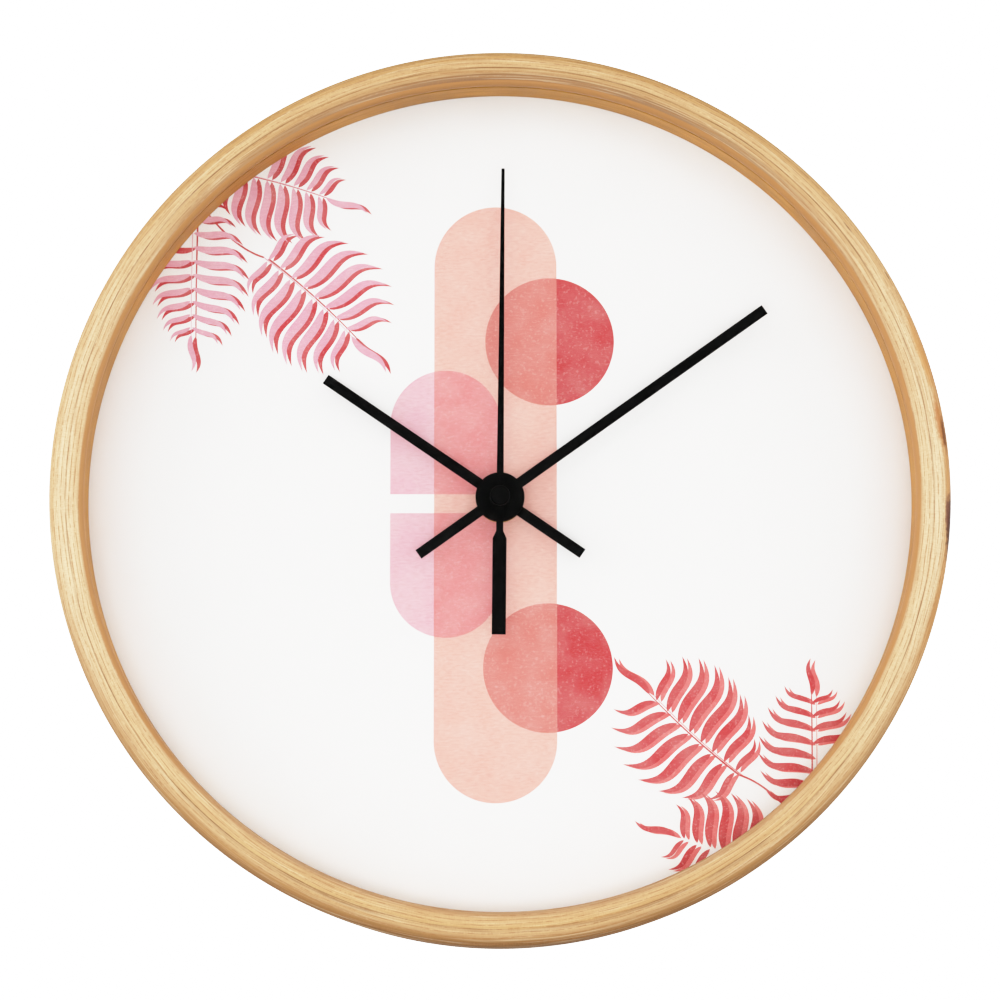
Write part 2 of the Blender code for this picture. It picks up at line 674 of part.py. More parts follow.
def case():
    side = (-CASE_HALF, CASE_HALF)
    body = block("movement_case", side, side, (CASE_REAR, CASE_FRONT), "black_plastic")
    round_off(body)
    room = (-ROOM_HALF, ROOM_HALF)
    depth = (CASE_REAR - 0.001, CASE_INSIDE)
    cut(body, block("train_room", room, (TRAIN_FLOOR, ROOM_HALF), depth))
    cut(body, block("battery_bay", room, (-ROOM_HALF, BAY_TOP), depth))
    cut(body, rod("case_bush_hole", BUSH_HOLE_R, CASE_INSIDE - 0.001, CASE_FRONT + 0.001))
    blind = (CASE_INSIDE - 0.001, CASE_INSIDE + BLIND_HOLE)
    cut(body, rod("works_front_hole", PIVOT_R + LOOSE, *blind, at=WORKS_AT, sides=PIVOT_STEPS))
    cut(body, rod("knob_front_hole", KNOB_STEM_R + LOOSE, *blind, at=KNOB_AT, sides=PIVOT_STEPS))

    cover = block("movement_cover", side, side, (COVER_REAR, COVER_FRONT), "black_plastic")
    round_off(cover)
    depth = (COVER_REAR - 0.001, COVER_FRONT + 0.001)
    opening = (-ROOM_HALF + 0.0006, ROOM_HALF - 0.0006)
    cut(cover, block("battery_opening", opening, (-ROOM_HALF + 0.0004, BAY_TOP - 0.0004), depth))
    cut(cover, rod("knob_rear_hole", KNOB_STEM_R + 2 * LOOSE, *depth, at=KNOB_AT, sides=PIVOT_STEPS))


def round_off(body):
    """Rounds a case part's four upright corners."""
    mesh = body.data
    shape = bmesh.new()
    shape.from_mesh(mesh)
    upright = [e for e in shape.edges if abs(e.verts[0].co.z - e.verts[1].co.z) > 1e-4]
    bmesh.ops.bevel(shape, geom=upright, offset=CASE_CORNER, segments=3, affect="EDGES", profile=0.5)
    shape.to_mesh(mesh)
    shape.free()


def dial_fixings():
    gasket = (GASKET_REAR, BOARD_REAR - GAP)
    flat("movement_gasket", circle(GASKET_R), *gasket, "rubber", [circle(GASKET_HOLE_R)])
    end = HOUR_HAND_REAR - BUSH_STOPS_BELOW_HAND
    flange = CASE_FRONT + GAP
    profile = [
        (BUSH_R, end),
        (BUSH_R, flange + BUSH_FLANGE),
        (BUSH_FLANGE_R, flange + BUSH_FLANGE),
        (BUSH_FLANGE_R, flange),
        (BUSH_R, flange),
        (BUSH_R, CASE_INSIDE + GAP),
        (BUSH_BORE_R, CASE_INSIDE + GAP),
        (BUSH_BORE_R, end),
    ]
    turned("shaft_bush", profile, "brass")
    washer = (DIAL_FRONT + GAP, DIAL_FRONT + GAP + WASHER_THICKNESS)
    flat("shaft_washer", circle(WASHER_R), *washer, "brass", [circle(BUSH_HOLE_R)])
    nut = (washer[1] + GAP, washer[1] + GAP + NUT_HEIGHT)
    corner_r = NUT_FLATS / 2 / cos(pi / 6)
    flat("shaft_nut", circle(corner_r, 6), *nut, "brass", [circle(BUSH_HOLE_R)])


def pivot_plates():
    """Two plates. Each stands on four posts that reach forward to what is in front of it."""
    outline = rectangle(PLATE_X, PLATE_Y)
    fine = FIFTH_PIVOT_R + LOOSE
    shared = [(THIRD_AT, fine), (FIFTH_AT, fine), (ROTOR_AT, fine), (KNOB_AT, KNOB_STEM_R + LOOSE)]
    middle = [*shared, (WORKS_AT, fine), (CENTRE_AT, MINUTE_PIPE_R + GAP)]
    rear = [*shared, (CENTRE_AT, SECOND_ARBOR_R + LOOSE)]
    for name, (low, high), pivots, ahead in (
        ("middle_plate", MIDDLE_PLATE, middle, CASE_INSIDE),
        ("rear_plate", REAR_PLATE, rear, MIDDLE_PLATE[0]),
    ):
        holes = [circle(radius, PIVOT_STEPS, at) for at, radius in pivots]
        plate = flat(name, outline, low, high, "white_plastic", holes)
        for number, at in enumerate(POSTS):
            fuse(plate, rod(f"{name}_post_{number}", POST_R, high - 0.0004, ahead - GAP, at=at, sides=8))


def motor():
    """The stator, and the coil on its core."""
    left, step, right = -0.0200, -0.0050, 0.0035
    arm = 0.0035
    low, step_low, bar_top, ear_top = 0.0112, 0.0142, 0.0180, COIL_Y + 0.0030
    outline = [
        (left, low),
        (step, low),
        (step, step_low),
        (right, step_low),
        (right, ear_top),
        (right - arm, ear_top),
        (right - arm, bar_top),
        (left + arm, bar_top),
        (left + arm, ear_top),
        (left, ear_top),
    ]
    flat("stator", outline, *STATOR, "steel", [circle(STATOR_HOLE_R, at=ROTOR_AT)])
    core_y = (COIL_Y - 0.0014, COIL_Y + 0.0014)
    block("coil_core", (left, right), core_y, CORE, "steel")
    middle = (CORE[0] + CORE[1]) / 2
    at = (COIL_Y, middle)
    bobbin = rod("coil_bobbin", COIL_BARREL_R, *COIL_X, "white_plastic", at, along="X")
    across = (COIL_Y - COIL_FLANGE_HALF, COIL_Y + COIL_FLANGE_HALF)
    deep = (middle - COIL_FLANGE_HALF, middle + COIL_FLANGE_HALF)
    ends = (COIL_X[0], COIL_X[1] - COIL_FLANGE_WIDTH)
    for number, x in enumerate(ends):
        fuse(bobbin, block(f"bobbin_flange_{number}", (x, x + COIL_FLANGE_WIDTH), across, deep))
    slot_y = (core_y[0] - GAP, core_y[1] + GAP)
    slot_z = (CORE[0] - GAP, CORE[1] + GAP)
    cut(bobbin, block("bobbin_slot", (left, right), slot_y, slot_z))
    wound = (COIL_X[0] + COIL_FLANGE_WIDTH + GAP, COIL_X[1] - COIL_FLANGE_WIDTH - GAP)
    winding = rod("coil_winding", COIL_R, *wound, "copper", at, along="X")
    cut(winding, rod("winding_bore", COIL_BARREL_R + GAP, left, right, at=at, along="X"))


def electronics():
    rear = COVER_FRONT + GAP
    front = rear + BOARD_THICKNESS
    block("circuit_board", BOARD_X, BOARD_Y, (rear, front), "circuit_green")
    foot = front + GAP
    rod("quartz_crystal", CRYSTAL_R, *CRYSTAL_X, "steel", (CRYSTAL_Y, foot + CRYSTAL_R), 12, "X")
    drop = [(0, foot + CHIP_HEIGHT), (CHIP_R * 0.57, foot + CHIP_HEIGHT * 0.8), (CHIP_R, foot), (0, foot)]
    turned("chip_drop", drop, "black_plastic", CHIP_AT, 16, closed=False)


def battery_and_contacts():
    at = (BATTERY_Y, BATTERY_HEIGHT)
    body = rod("battery", BATTERY_R, *BATTERY_ENDS, "battery_sleeve", at, 32, "X")
    end = BATTERY_ENDS[1]
    fuse(body, rod("battery_nub", NUB_R, end - 0.001, end + NUB_LENGTH, at=at, along="X"))
    tall = (BATTERY_Y - CONTACT_HALF_WIDTH, BATTERY_Y + CONTACT_HALF_WIDTH)
    deep = (COVER_FRONT + 0.001, CASE_INSIDE - 0.001)
    outer = ROOM_HALF - GAP
    inner = outer - CONTACT_THICKNESS
    block("battery_contact_positive", (inner, outer), tall, deep, "steel")
    contact = block("battery_contact_negative", (-outer, -inner), tall, deep, "steel")
    fuse(contact, rod("contact_spring", CONTACT_SPRING_R, -inner - 0.0001, BATTERY_ENDS[0] - GAP, at=at, along="X"))


# Hands


def hand_outline(above, below, hub_r, sides=12):
    """A hand that points up, from its half widths. above runs from the tip to the hub, and below from the
    hub to the tail's end, both as (half width, distance from the axis)."""
    start = 90 - degrees(asin(above[-1][0] / hub_r))
    end = -90 + degrees(asin(below[0][0] / hub_r))
    right = above[:-1] + arc((0, 0), hub_r, start, end, sides)
    right += [(half, -reach) for half, reach in below[1:]]
    return right + [(-x, y) for x, y in reversed(right)]


def hand(name, outline, rear, bore_r, collet, angle):
    """A stamped hand with its hub's collet behind it: collet is (radius, how far behind)."""
    made = flat(name, outline, rear, rear + HAND_THICKNESS, "black_enamel")
    collet_r, behind = collet
    fuse(made, rod(name + "_collet", collet_r, rear - behind, rear + HAND_THICKNESS / 2))
    cut(made, rod(name + "_bore", bore_r, rear - 0.01, rear + 0.01))
    for piece in [made] + [step.object for step in made.modifiers]:
        piece.rotation_euler = (0, 0, -radians(angle))


def hands():
    bar = HAND_HALF_WIDTH
    tail = [(bar, HUB_R), (bar, HAND_TAIL)]
    hour = hand_outline([(bar, HOUR_LENGTH), (bar, HUB_R)], tail, HUB_R)
    hand("hour_hand", hour, HOUR_HAND_REAR, HOUR_PIPE_R + GAP, HOUR_COLLET, HOUR_ANGLE)
    minute = hand_outline([(bar, MINUTE_LENGTH), (bar, HUB_R)], tail, HUB_R)
    hand("minute_hand", minute, MINUTE_HAND_REAR, MINUTE_PIPE_R + GAP, MINUTE_COLLET, MINUTE_ANGLE)
    nut_rear = MINUTE_HAND_REAR + HAND_THICKNESS + GAP
    hole = [circle(MINUTE_PIPE_R + GAP, 16)]
    flat("hand_nut", circle(HAND_NUT_R, 16), nut_rear, nut_rear + HAND_NUT_HEIGHT, "brass", hole)
    blade = [(SECOND_TIP_HALF, SECOND_LENGTH), (SECOND_ROOT_HALF, SECOND_HUB_R)]
    neck = SECOND_ROOT_HALF
    counterweight = [
        (neck, SECOND_HUB_R),
        (neck, SECOND_NECK_END),
        (SECOND_WEIGHT_HALF, SECOND_WEIGHT_START),
        (SECOND_WEIGHT_HALF, SECOND_TAIL),
    ]
    second = hand_outline(blade, counterweight, SECOND_HUB_R)
    front = SECOND_HAND_REAR + SECOND_THICKNESS
    made = flat("second_hand", second, SECOND_HAND_REAR, front, "black_enamel")
    cap_high = SECOND_HAND_REAR + SECOND_CAP_HEIGHT
    cap = rod("second_cap", SECOND_HUB_R - 0.0002, SECOND_HAND_REAR + 0.0003, cap_high)
    fuse(made, cap)
    socket = rod("second_socket", SECOND_ARBOR_R + GAP, SECOND_HAND_REAR - 0.001, cap_high - 0.0003, sides=12)
    cut(made, socket)
    for piece in (made, cap, socket):
        piece.rotation_euler = (0, 0, -radians(SECOND_ANGLE))


hoop()
sheets()
blocks_and_screws()
hanger()
case()
dial_fixings()
pivot_plates()
second_train()
motion_work()
motor()
electronics()
battery_and_contacts()
hands()
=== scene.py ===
"""The looks of a round quartz wall clock: a laminated wooden hoop, a printed dial behind a clear lens,
three black hands, and the movement that shows from behind.

Pieces are modelled in the dial's own frame, as a person reads it: X to the right, Y up, and Z out of the
wall, with zero at the hands' axis on the wall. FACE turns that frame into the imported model's. Distances
are in metres, and a height is a distance from the wall.
"""

from math import asin, atan2, cos, degrees, pi, radians, sin

import bmesh
import bpy
from mathutils import Matrix, Vector


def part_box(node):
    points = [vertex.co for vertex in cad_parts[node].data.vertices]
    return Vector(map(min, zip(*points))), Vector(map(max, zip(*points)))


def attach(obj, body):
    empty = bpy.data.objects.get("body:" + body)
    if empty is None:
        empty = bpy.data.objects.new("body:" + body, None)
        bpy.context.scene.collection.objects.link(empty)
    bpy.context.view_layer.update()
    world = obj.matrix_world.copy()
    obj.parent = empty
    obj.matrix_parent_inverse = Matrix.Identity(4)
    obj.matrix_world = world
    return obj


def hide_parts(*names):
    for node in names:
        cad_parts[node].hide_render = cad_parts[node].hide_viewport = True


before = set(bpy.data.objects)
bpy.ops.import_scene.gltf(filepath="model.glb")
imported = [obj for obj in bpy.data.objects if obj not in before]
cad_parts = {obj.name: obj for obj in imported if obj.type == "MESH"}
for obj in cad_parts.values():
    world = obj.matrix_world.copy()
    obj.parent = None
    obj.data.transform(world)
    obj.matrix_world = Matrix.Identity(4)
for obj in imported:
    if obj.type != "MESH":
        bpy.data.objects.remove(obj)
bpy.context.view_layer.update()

MM = 0.001
SIDES = 256  # steps round the sheets and the panel
FINE_SIDES = 384  # steps round the hoop and the veneer
ON_AXIS = 1e-7  # a smaller radius is a point on the axis
WELD = 1e-6  # corners nearer to each other than this are one


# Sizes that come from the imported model


def heights(node):
    """How far a node's rear and front are from the wall."""
    low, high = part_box(node)
    return -high.y, -low.y


def radius(node):
    """Half of a round node's width."""
    low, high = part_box(node)
    return (high.x - low.x) / 2


def middle(node):
    """The middle of a node as it is seen from the front."""
    low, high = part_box(node)
    return (low.x + high.x) / 2, (low.z + high.z) / 2 - AXIS_Z


hoop_low, hoop_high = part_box("frame_hoop")
AXIS_Z = (hoop_low.z + hoop_high.z) / 2
FACE = Matrix.Translation((0, 0, AXIS_Z)) @ Matrix.Rotation(pi / 2, 4, "X")
HOOP_R = radius("frame_hoop")
HOOP_DEPTH = heights("frame_hoop")[1]
LENS_R = radius("lens")
SPACER_R = radius("spacer_ring")
DIAL_R = radius("dial")
DIAL_REAR, DIAL_FRONT = heights("dial")
SHAFT_HOLE_R = 4.3 * MM  # through the dial, its print, the washer and the nut
CLEARANCE = 0.3 * MM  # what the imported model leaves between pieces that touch
REBATE_R = LENS_R + CLEARANCE
FRONT_WIDTH = 10 * MM  # of the hoop
LIP_R = HOOP_R - FRONT_WIDTH
LIP_REAR = heights("lens")[1] + CLEARANCE


# Shapes


def circle(r, steps, at=(0, 0)):
    """Points round a circle, anticlockwise."""
    return [(at[0] + r * cos(2 * pi * k / steps), at[1] + r * sin(2 * pi * k / steps)) for k in range(steps)]


def arc(centre, r, start, end, steps):
    """Points along an arc, with both its ends. Angles are in degrees, anticlockwise from the right."""
    angles = [radians(start + (end - start) * k / steps) for k in range(steps + 1)]
    return [(centre[0] + r * cos(a), centre[1] + r * sin(a)) for a in angles]


def finish_mesh(bm, name):
    """A mesh from a bmesh, which is freed."""
    mesh = bpy.data.meshes.new(name)
    bm.to_mesh(mesh)
    bm.free()
    return mesh


def turned(profile, steps=SIDES, closed=True):
    """A turned solid from (radius, height) points. The section runs anticlockwise, with the radius to the
    right. A point on the axis makes a pole, and an open profile starts and ends on the axis."""
    bm = bmesh.new()
    rings = []
    for r, h in profile:
        if r < ON_AXIS:
            rings.append([bm.verts.new((0, 0, h))] * steps)
        else:
            rings.append([bm.verts.new((x, y, h)) for x, y in circle(r, steps)])
    pairs = list(zip(rings, rings[1:]))
    if closed:
        pairs.append((rings[-1], rings[0]))
    for lower, upper in pairs:
        for k in range(steps):
            n = (k + 1) % steps
            bm.faces.new(list(dict.fromkeys((lower[k], lower[n], upper[n], upper[k]))))
    return finish_mesh(bm, "turned")


def section(inner, outer, rear, front, behind=0.0, ahead=0.0):
    """The section of a ring, or of a disc when inner is 0, with its rim's corners cut off behind and ahead."""
    rim = [(outer - behind, rear), (outer, rear + behind), (outer, front - ahead), (outer - ahead, front)]
    return [(inner, rear), *dict.fromkeys(rim), (inner, front)]


def slab(outlines, rear, front, rise=0.0):
    """Closed flat solids, one for each outline, and each a little higher than the one before it."""
    bm = bmesh.new()
    for index, outline in enumerate(outlines):
        area = sum(a[0] * b[1] - b[0] * a[1] for a, b in zip(outline, outline[1:] + outline[:1]))
        points = outline if area > 0 else outline[::-1]
        low = [bm.verts.new((x, y, rear)) for x, y in points]
        high = [bm.verts.new((x, y, front + index * rise)) for x, y in points]
        bm.faces.new(low[::-1])
        bm.faces.new(high)
        for k in range(len(points)):
            n = (k + 1) % len(points)
            bm.faces.new((low[k], low[n], high[n], high[k]))
    return finish_mesh(bm, "slab")


def linked(name, data):
    """A new object in the scene."""
    made = bpy.data.objects.new(name, data)
    bpy.context.scene.collection.objects.link(made)
    return made


def evaluated(data, kind=None, **settings):
    """The mesh of a curve, or of a mesh with one modifier applied."""
    maker = linked("maker", data)
    if kind:
        modifier = maker.modifiers.new(kind.lower(), kind)
        for key, value in settings.items():
            setattr(modifier, key, value)
    graph = bpy.context.evaluated_depsgraph_get()
    result = bpy.data.meshes.new_from_object(maker.evaluated_get(graph))
    bpy.data.objects.remove(maker)
    return result


def bevelled(mesh, width, segments=3):
    """A mesh with its sharp edges rounded."""
    sharp = radians(35)
    return evaluated(mesh, "BEVEL", width=width, segments=segments, limit_method="ANGLE", angle_limit=sharp)


def plate(outline, rear, front, holes=(), bevel=0.0):
    """A flat solid with holes through it, and rounded edges where bevel is given."""
    curve = bpy.data.curves.new("plate", "CURVE")
    curve.dimensions = "2D"
    curve.fill_mode = "BOTH"
    curve.extrude = (front - rear) / 2
    for loop in (outline, *holes):
        spline = curve.splines.new("POLY")
        spline.points.add(len(loop) - 1)
        spline.use_cyclic_u = True
        for point, (x, y) in zip(spline.points, loop):
            point.co = (x, y, 0, 1)
    bm = bmesh.new()
    bm.from_mesh(evaluated(curve))
    bmesh.ops.remove_doubles(bm, verts=bm.verts, dist=WELD)
    bmesh.ops.dissolve_limit(bm, angle_limit=radians(0.5), verts=bm.verts, edges=bm.edges)
    bmesh.ops.translate(bm, verts=bm.verts, vec=(0, 0, (rear + front) / 2))
    mesh = finish_mesh(bm, "plate")
    return bevelled(mesh, bevel) if bevel else mesh


def combined(first, second, operation="UNION"):
    """Two meshes made one solid."""
    other = linked("other", second)
    made = evaluated(first, "BOOLEAN", operation=operation, object=other, solver="EXACT")
    bpy.data.objects.remove(other)
    return made


def rounded_box(half_x, half_y, corner, at=(0, 0), steps=6):
    """The outline of a rectangle with round corners."""
    points = []
    for start, side_x, side_y in ((0, 1, 1), (90, -1, 1), (180, -1, -1), (270, 1, -1)):
        centre = (at[0] + side_x * (half_x - corner), at[1] + side_y * (half_y - corner))
        points += arc(centre, corner, start, start + 90, steps)
    return points


def piece(name, mesh, material, body, slot, *nodes, sharp=40, turn=FACE):
    """A finished piece: it rides on its body, takes the material given and stands for its nodes.
    Its slot is not used.
    """
    mesh.transform(turn)
    made = linked(name, mesh)
    mesh.materials.clear()
    mesh.materials.append(material)
    mesh.shade_smooth()
    mesh.set_sharp_from_angle(angle=radians(sharp))
    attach(made, body)
    if nodes:
        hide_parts(*nodes)
    return made


# Materials


def colour(red, green, blue):
    """A linear colour from the 0 to 255 values that a paint chart gives."""
    shares = [value / 255 for value in (red, green, blue)]
    linear = [s / 12.92 if s <= 0.04045 else ((s + 0.055) / 1.055) ** 2.4 for s in shares]
    return (*linear, 1.0)


class Tree:
    """A node tree, and short ways to add to it. A value is a number, a colour or another node's socket."""

    def __init__(self, tree):
        self.tree = tree

    def put(self, socket, value):
        if isinstance(value, bpy.types.NodeSocket):
            self.tree.links.new(value, socket)
        else:
            socket.default_value = value

    def add(self, kind, *values, **settings):
        """A node. Values fill its first sockets, and None leaves one as it is."""
        node = self.tree.nodes.new("ShaderNode" + kind)
        for key, value in settings.items():
            setattr(node, key, value)
        for socket, value in zip(node.inputs, values):
            if value is not None:
                self.put(socket, value)
        return node

    def math(self, operation, *values, clamp=False):
        return self.add("Math", *values, operation=operation, use_clamp=clamp).outputs[0]

    def times(self, first, second, clamp=False):
        return self.math("MULTIPLY", first, second, clamp=clamp)

    def vector(self, x, y, z):
        return self.add("CombineXYZ", x, y, z).outputs[0]

    def moved(self, vector, *way):
        return self.add("VectorMath", vector, way, operation="ADD").outputs[0]

    def scaled(self, vector, *scales):
        return self.add("VectorMath", vector, scales, operation="MULTIPLY").outputs[0]

    def dot(self, vector, axis):
        return self.add("VectorMath", vector, axis, operation="DOT_PRODUCT").outputs["Value"]

    def length(self, vector):
        return self.add("VectorMath", vector, operation="LENGTH").outputs["Value"]

    def split(self, vector):
        return self.add("SeparateXYZ", vector).outputs

    def mix(self, factor, first, second):
        node = self.add("Mix", data_type="RGBA")
        for socket, value in ((0, factor), (6, first), (7, second)):
            self.put(node.inputs[socket], value)
        return node.outputs[2]

    def ramp(self, factor, stops):
        """A colour, or a grey given as one number, for each place along the factor."""
        node = self.add("ValToRGB", factor)
        elements = node.color_ramp.elements
        while len(elements) < len(stops):
            elements.new(0.5)
        for element, (place, value) in zip(elements, stops):
            element.position = place
            element.color = value if isinstance(value, tuple) else (value, value, value, 1.0)
        return node.outputs[0]

    def stain(self, base, pattern, start, end, strength, tone):
        """The base with a tone over it, from nothing where the pattern is at start to its strength at end."""
        return self.mix(self.ramp(pattern, [(start, 0.0), (end, strength)]), base, tone)

    def noise(self, vector, scale, detail=2.0, w=None):
        dimensions = "3D" if w is None else "4D"
        return self.add("TexNoise", vector, w, scale, detail, noise_dimensions=dimensions).outputs[0]


class Nodes(Tree):
    """A material with one Principled shader."""

    def __init__(self, name, **inputs):
        self.material = bpy.data.materials.new(name)
        self.material.use_nodes = True
        super().__init__(self.material.node_tree)
        self.shader = self.tree.nodes["Principled BSDF"]
        for socket, value in inputs.items():
            self.shader.inputs[socket.replace("_", " ")].default_value = value

    def place(self):
        """Where a point is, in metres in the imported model's frame, as seen from the hands' axis."""
        return self.moved(self.add("TexCoord").outputs["Object"], 0, 0, -AXIS_Z)

    def bump(self, height, depth):
        node = self.add("Bump")
        node.inputs["Distance"].default_value = depth
        self.put(node.inputs["Height"], height)
        self.tree.links.new(node.outputs[0], self.shader.inputs["Normal"])

    def finish(self, base, roughness=None):
        self.put(self.shader.inputs["Base Color"], base)
        if roughness is not None:
            self.put(self.shader.inputs["Roughness"], roughness)
        return self.material


def polar(nodes):
    """Radius, direction and depth of a point from the hands' axis, all as sockets."""
    x, y, z = nodes.split(nodes.place())
    r = nodes.length(nodes.vector(x, 0.0, z))
    return r, nodes.math("DIVIDE", x, r), nodes.math("DIVIDE", z, r), y


def upward(nodes, sine):
    """How far up a direction points, from 0 straight down to 1 straight up."""
    return nodes.math("MULTIPLY_ADD", sine, 0.5, 0.5)


def fibres(nodes, where, round_scale, across_scale, detail=2.0):
    """Streaks that run round the hoop: round_scale cells a radian, and across_scale cells a metre."""
    r, cosine, sine, depth = where
    x, y = nodes.times(cosine, round_scale), nodes.times(sine, round_scale)
    vector = nodes.vector(x, y, nodes.times(r, across_scale))
    return nodes.noise(vector, 1.0, detail, nodes.times(depth, across_scale))


def spot(nodes, place, at, size):
    """1 in the middle of an oval on the hoop's front edge and 0 beyond its ragged rim. The oval lies along
    the hoop, and size is half its length and half its width."""
    direction = atan2(at[1], at[0])
    moved = nodes.moved(place, -at[0], 0, -at[1])
    across = nodes.dot(moved, (cos(direction), 0, sin(direction)))
    along_hoop = nodes.dot(moved, (-sin(direction), 0, cos(direction)))
    behind = nodes.math("ADD", nodes.split(place)[1], HOOP_DEPTH)
    offset = nodes.vector(
        nodes.math("DIVIDE", along_hoop, size[0]),
        nodes.math("DIVIDE", across, size[1]),
        nodes.math("DIVIDE", behind, KNOT_DEPTH),
    )
    wobble = nodes.times(nodes.noise(place, 900.0, 4.0), KNOT_RAGGED)
    far = nodes.math("ADD", nodes.length(offset), nodes.math("SUBTRACT", wobble, KNOT_RAGGED / 2))
    return nodes.ramp(far, [(0.45, 1.0), (1.0, 0.0)])


# The tone of the hoop's wood, as (share of the way from the lip to the outside, colour)
FACE_TONES = (
    # the first stops, darker over the lip's inner rounding, are partly the wood's tone and partly painted
    # shade
    (0.00, (184, 148, 112)),
    (0.12, (194, 158, 118)),
    (0.20, (212, 177, 130)),
    (0.30, (219, 184, 136)),
    (0.48, (210, 174, 120)),
    (0.52, (221, 187, 139)),
    (0.72, (216, 182, 134)),
    (0.78, (206, 164, 106)),
    (1.00, (200, 156, 92)),
)
# Its streaks, as (cells a radian, cells a metre, detail, where in the noise the stain starts and is full,
# strength, colour)
STREAKS = (
    (2.0, 450, 2.0, 0.40, 0.68, 0.24, (198, 152, 98)),
    (4.0, 1900, 3.0, 0.48, 0.66, 0.30, (186, 142, 90)),
    (5.0, 2600, 2.0, 0.52, 0.70, 0.40, (252, 232, 196)),
    (16.0, 3600, 2.0, 0.46, 0.64, 0.34, (170, 124, 76)),
)
# Its flaws, as (place on the face in mm, half the length and half the width in mm, colour, strength)
KNOTS = (
    ((118.6, 40.0), (15.0, 1.2), (206, 148, 82), 0.6),
    ((123.6, 20.0), (9.0, 1.3), (182, 118, 60), 0.75),
    ((125.0, 16.8), (6.0, 0.8), (116, 66, 34), 0.85),
    ((126.4, -8.5), (13.0, 1.3), (84, 50, 38), 0.95),
    ((125.6, -5.0), (6.0, 0.8), (110, 68, 58), 0.8),
    ((98.6, 75.5), (2.6, 0.25), (120, 78, 44), 0.8),
    ((109.6, 61.9), (2.0, 0.22), (120, 78, 44), 0.7),
)
KNOT_DEPTH = 12 * MM  # how far they go back on the outside of the hoop
KNOT_RAGGED = 0.9  # how far their rims wander, as a share of their size
UPPER_SEAM = 119.9 * MM  # glue lines that show on the face, the first one only near the top
SEAM = 121.9 * MM
GROWTH = 1.25 * MM  # from one growth line to the next
WALL_TOP = ((0.955, 1.0), (0.97, 0.0))  # shares of its depth where its inner wall takes the veneer's tone


def hoop_tones(nodes, where, across, forward):
    """The wood's colour before its grain, with painted light in it: a painted highlight at the left and right,
    painted shade round the upper lip and along the outer edge at the bottom, and darker along the outer edge
    at the right."""
    _, cosine, sine, _ = where
    base = nodes.ramp(across, [(share, colour(*tone)) for share, tone in FACE_TONES])
    # painted highlight: a pale cream sheen mixed into the face at the left and right
    side = nodes.math("POWER", nodes.math("ABSOLUTE", cosine), 4.5)
    side = nodes.times(side, nodes.ramp(across, [(0.15, 0.4), (0.38, 0.85), (0.72, 0.85), (0.95, 0.5)]))
    base = nodes.mix(side, base, colour(248, 224, 188))
    # painted shade: the wood round the upper part of the lip is darkened, most at its inner edge
    above = nodes.math("MAXIMUM", sine, 0.0)
    painted_lip_shade = nodes.times(nodes.ramp(across, [(0.22, 1.0), (0.32, 0.5), (0.60, 0.0)]), above)
    base = nodes.mix(nodes.times(painted_lip_shade, above), base, colour(140, 108, 80))
    # painted shade: the outer edge darkens towards the bottom, where its rounding turns down
    painted_low_edge_shade = nodes.times(nodes.ramp(across, [(0.58, 0.0), (0.94, 1.0)]), sine)
    base = nodes.mix(nodes.times(painted_low_edge_shade, -0.95, clamp=True), base, colour(112, 70, 28))
    right_edge = nodes.times(nodes.ramp(across, [(0.78, 0.0), (0.88, 0.8)]), cosine, clamp=True)
    right_edge = nodes.times(right_edge, nodes.ramp(cosine, [(0.86, 0.0), (0.95, 1.0)]))
    right_edge = nodes.times(right_edge, nodes.ramp(forward, [(0.55, 0.0), (0.85, 1.0)]))
    return nodes.mix(right_edge, base, colour(186, 132, 70))


def hoop_grain(nodes, where, base):
    """The base with its streaks, dashed growth lines and ticks over it, and the height of its surface."""
    noises = []
    for round_scale, across_scale, detail, start, end, strength, tone in STREAKS:
        noises.append(fibres(nodes, where, round_scale, across_scale, detail))
        base = nodes.stain(base, noises[-1], start, end, strength, colour(*tone))
    wander = nodes.times(fibres(nodes, where, 5.0, 120, 1.0), 2.0)
    growth = nodes.math("FRACT", nodes.math("ADD", nodes.math("DIVIDE", where[0], GROWTH), wander))
    line = nodes.ramp(growth, [(0.36, 0.0), (0.50, 1.0), (0.64, 0.0)])
    dashes = nodes.ramp(fibres(nodes, where, 90.0, 1300, 1.0), [(0.36, 0.0), (0.56, 1.0)])
    pores = nodes.times(line, dashes)
    base = nodes.mix(nodes.times(pores, 0.8), base, colour(164, 114, 66))
    base = nodes.stain(base, fibres(nodes, where, 520.0, 900), 0.45, 0.70, 0.26, colour(180, 134, 86))
    return base, nodes.math("SUBTRACT", nodes.times(noises[1], 0.5), nodes.times(pores, 0.6))


def glue_lines(nodes, where):
    """How much glue shows: in a line all round, in a second one near the top, and wider near the bottom."""
    r, _, sine, _ = where

    def line(radius, half_width, strength):
        away = nodes.math("ABSOLUTE", nodes.math("SUBTRACT", r, radius))
        nearness = nodes.math("SUBTRACT", 1.0, nodes.math("DIVIDE", away, half_width), clamp=True)
        return nodes.times(nearness, strength)

    upper = line(UPPER_SEAM, 0.3 * MM, nodes.ramp(sine, [(0.6, 0.0), (0.9, 0.8)]))
    near_bottom = nodes.ramp(nodes.times(sine, -1.0), [(0.5, 0.0), (0.9, 0.6)])
    seam = nodes.math("MAXIMUM", upper, line(SEAM, 0.28 * MM, 0.8))
    return nodes.math("MAXIMUM", seam, line(SEAM + 0.5 * MM, 0.9 * MM, near_bottom))


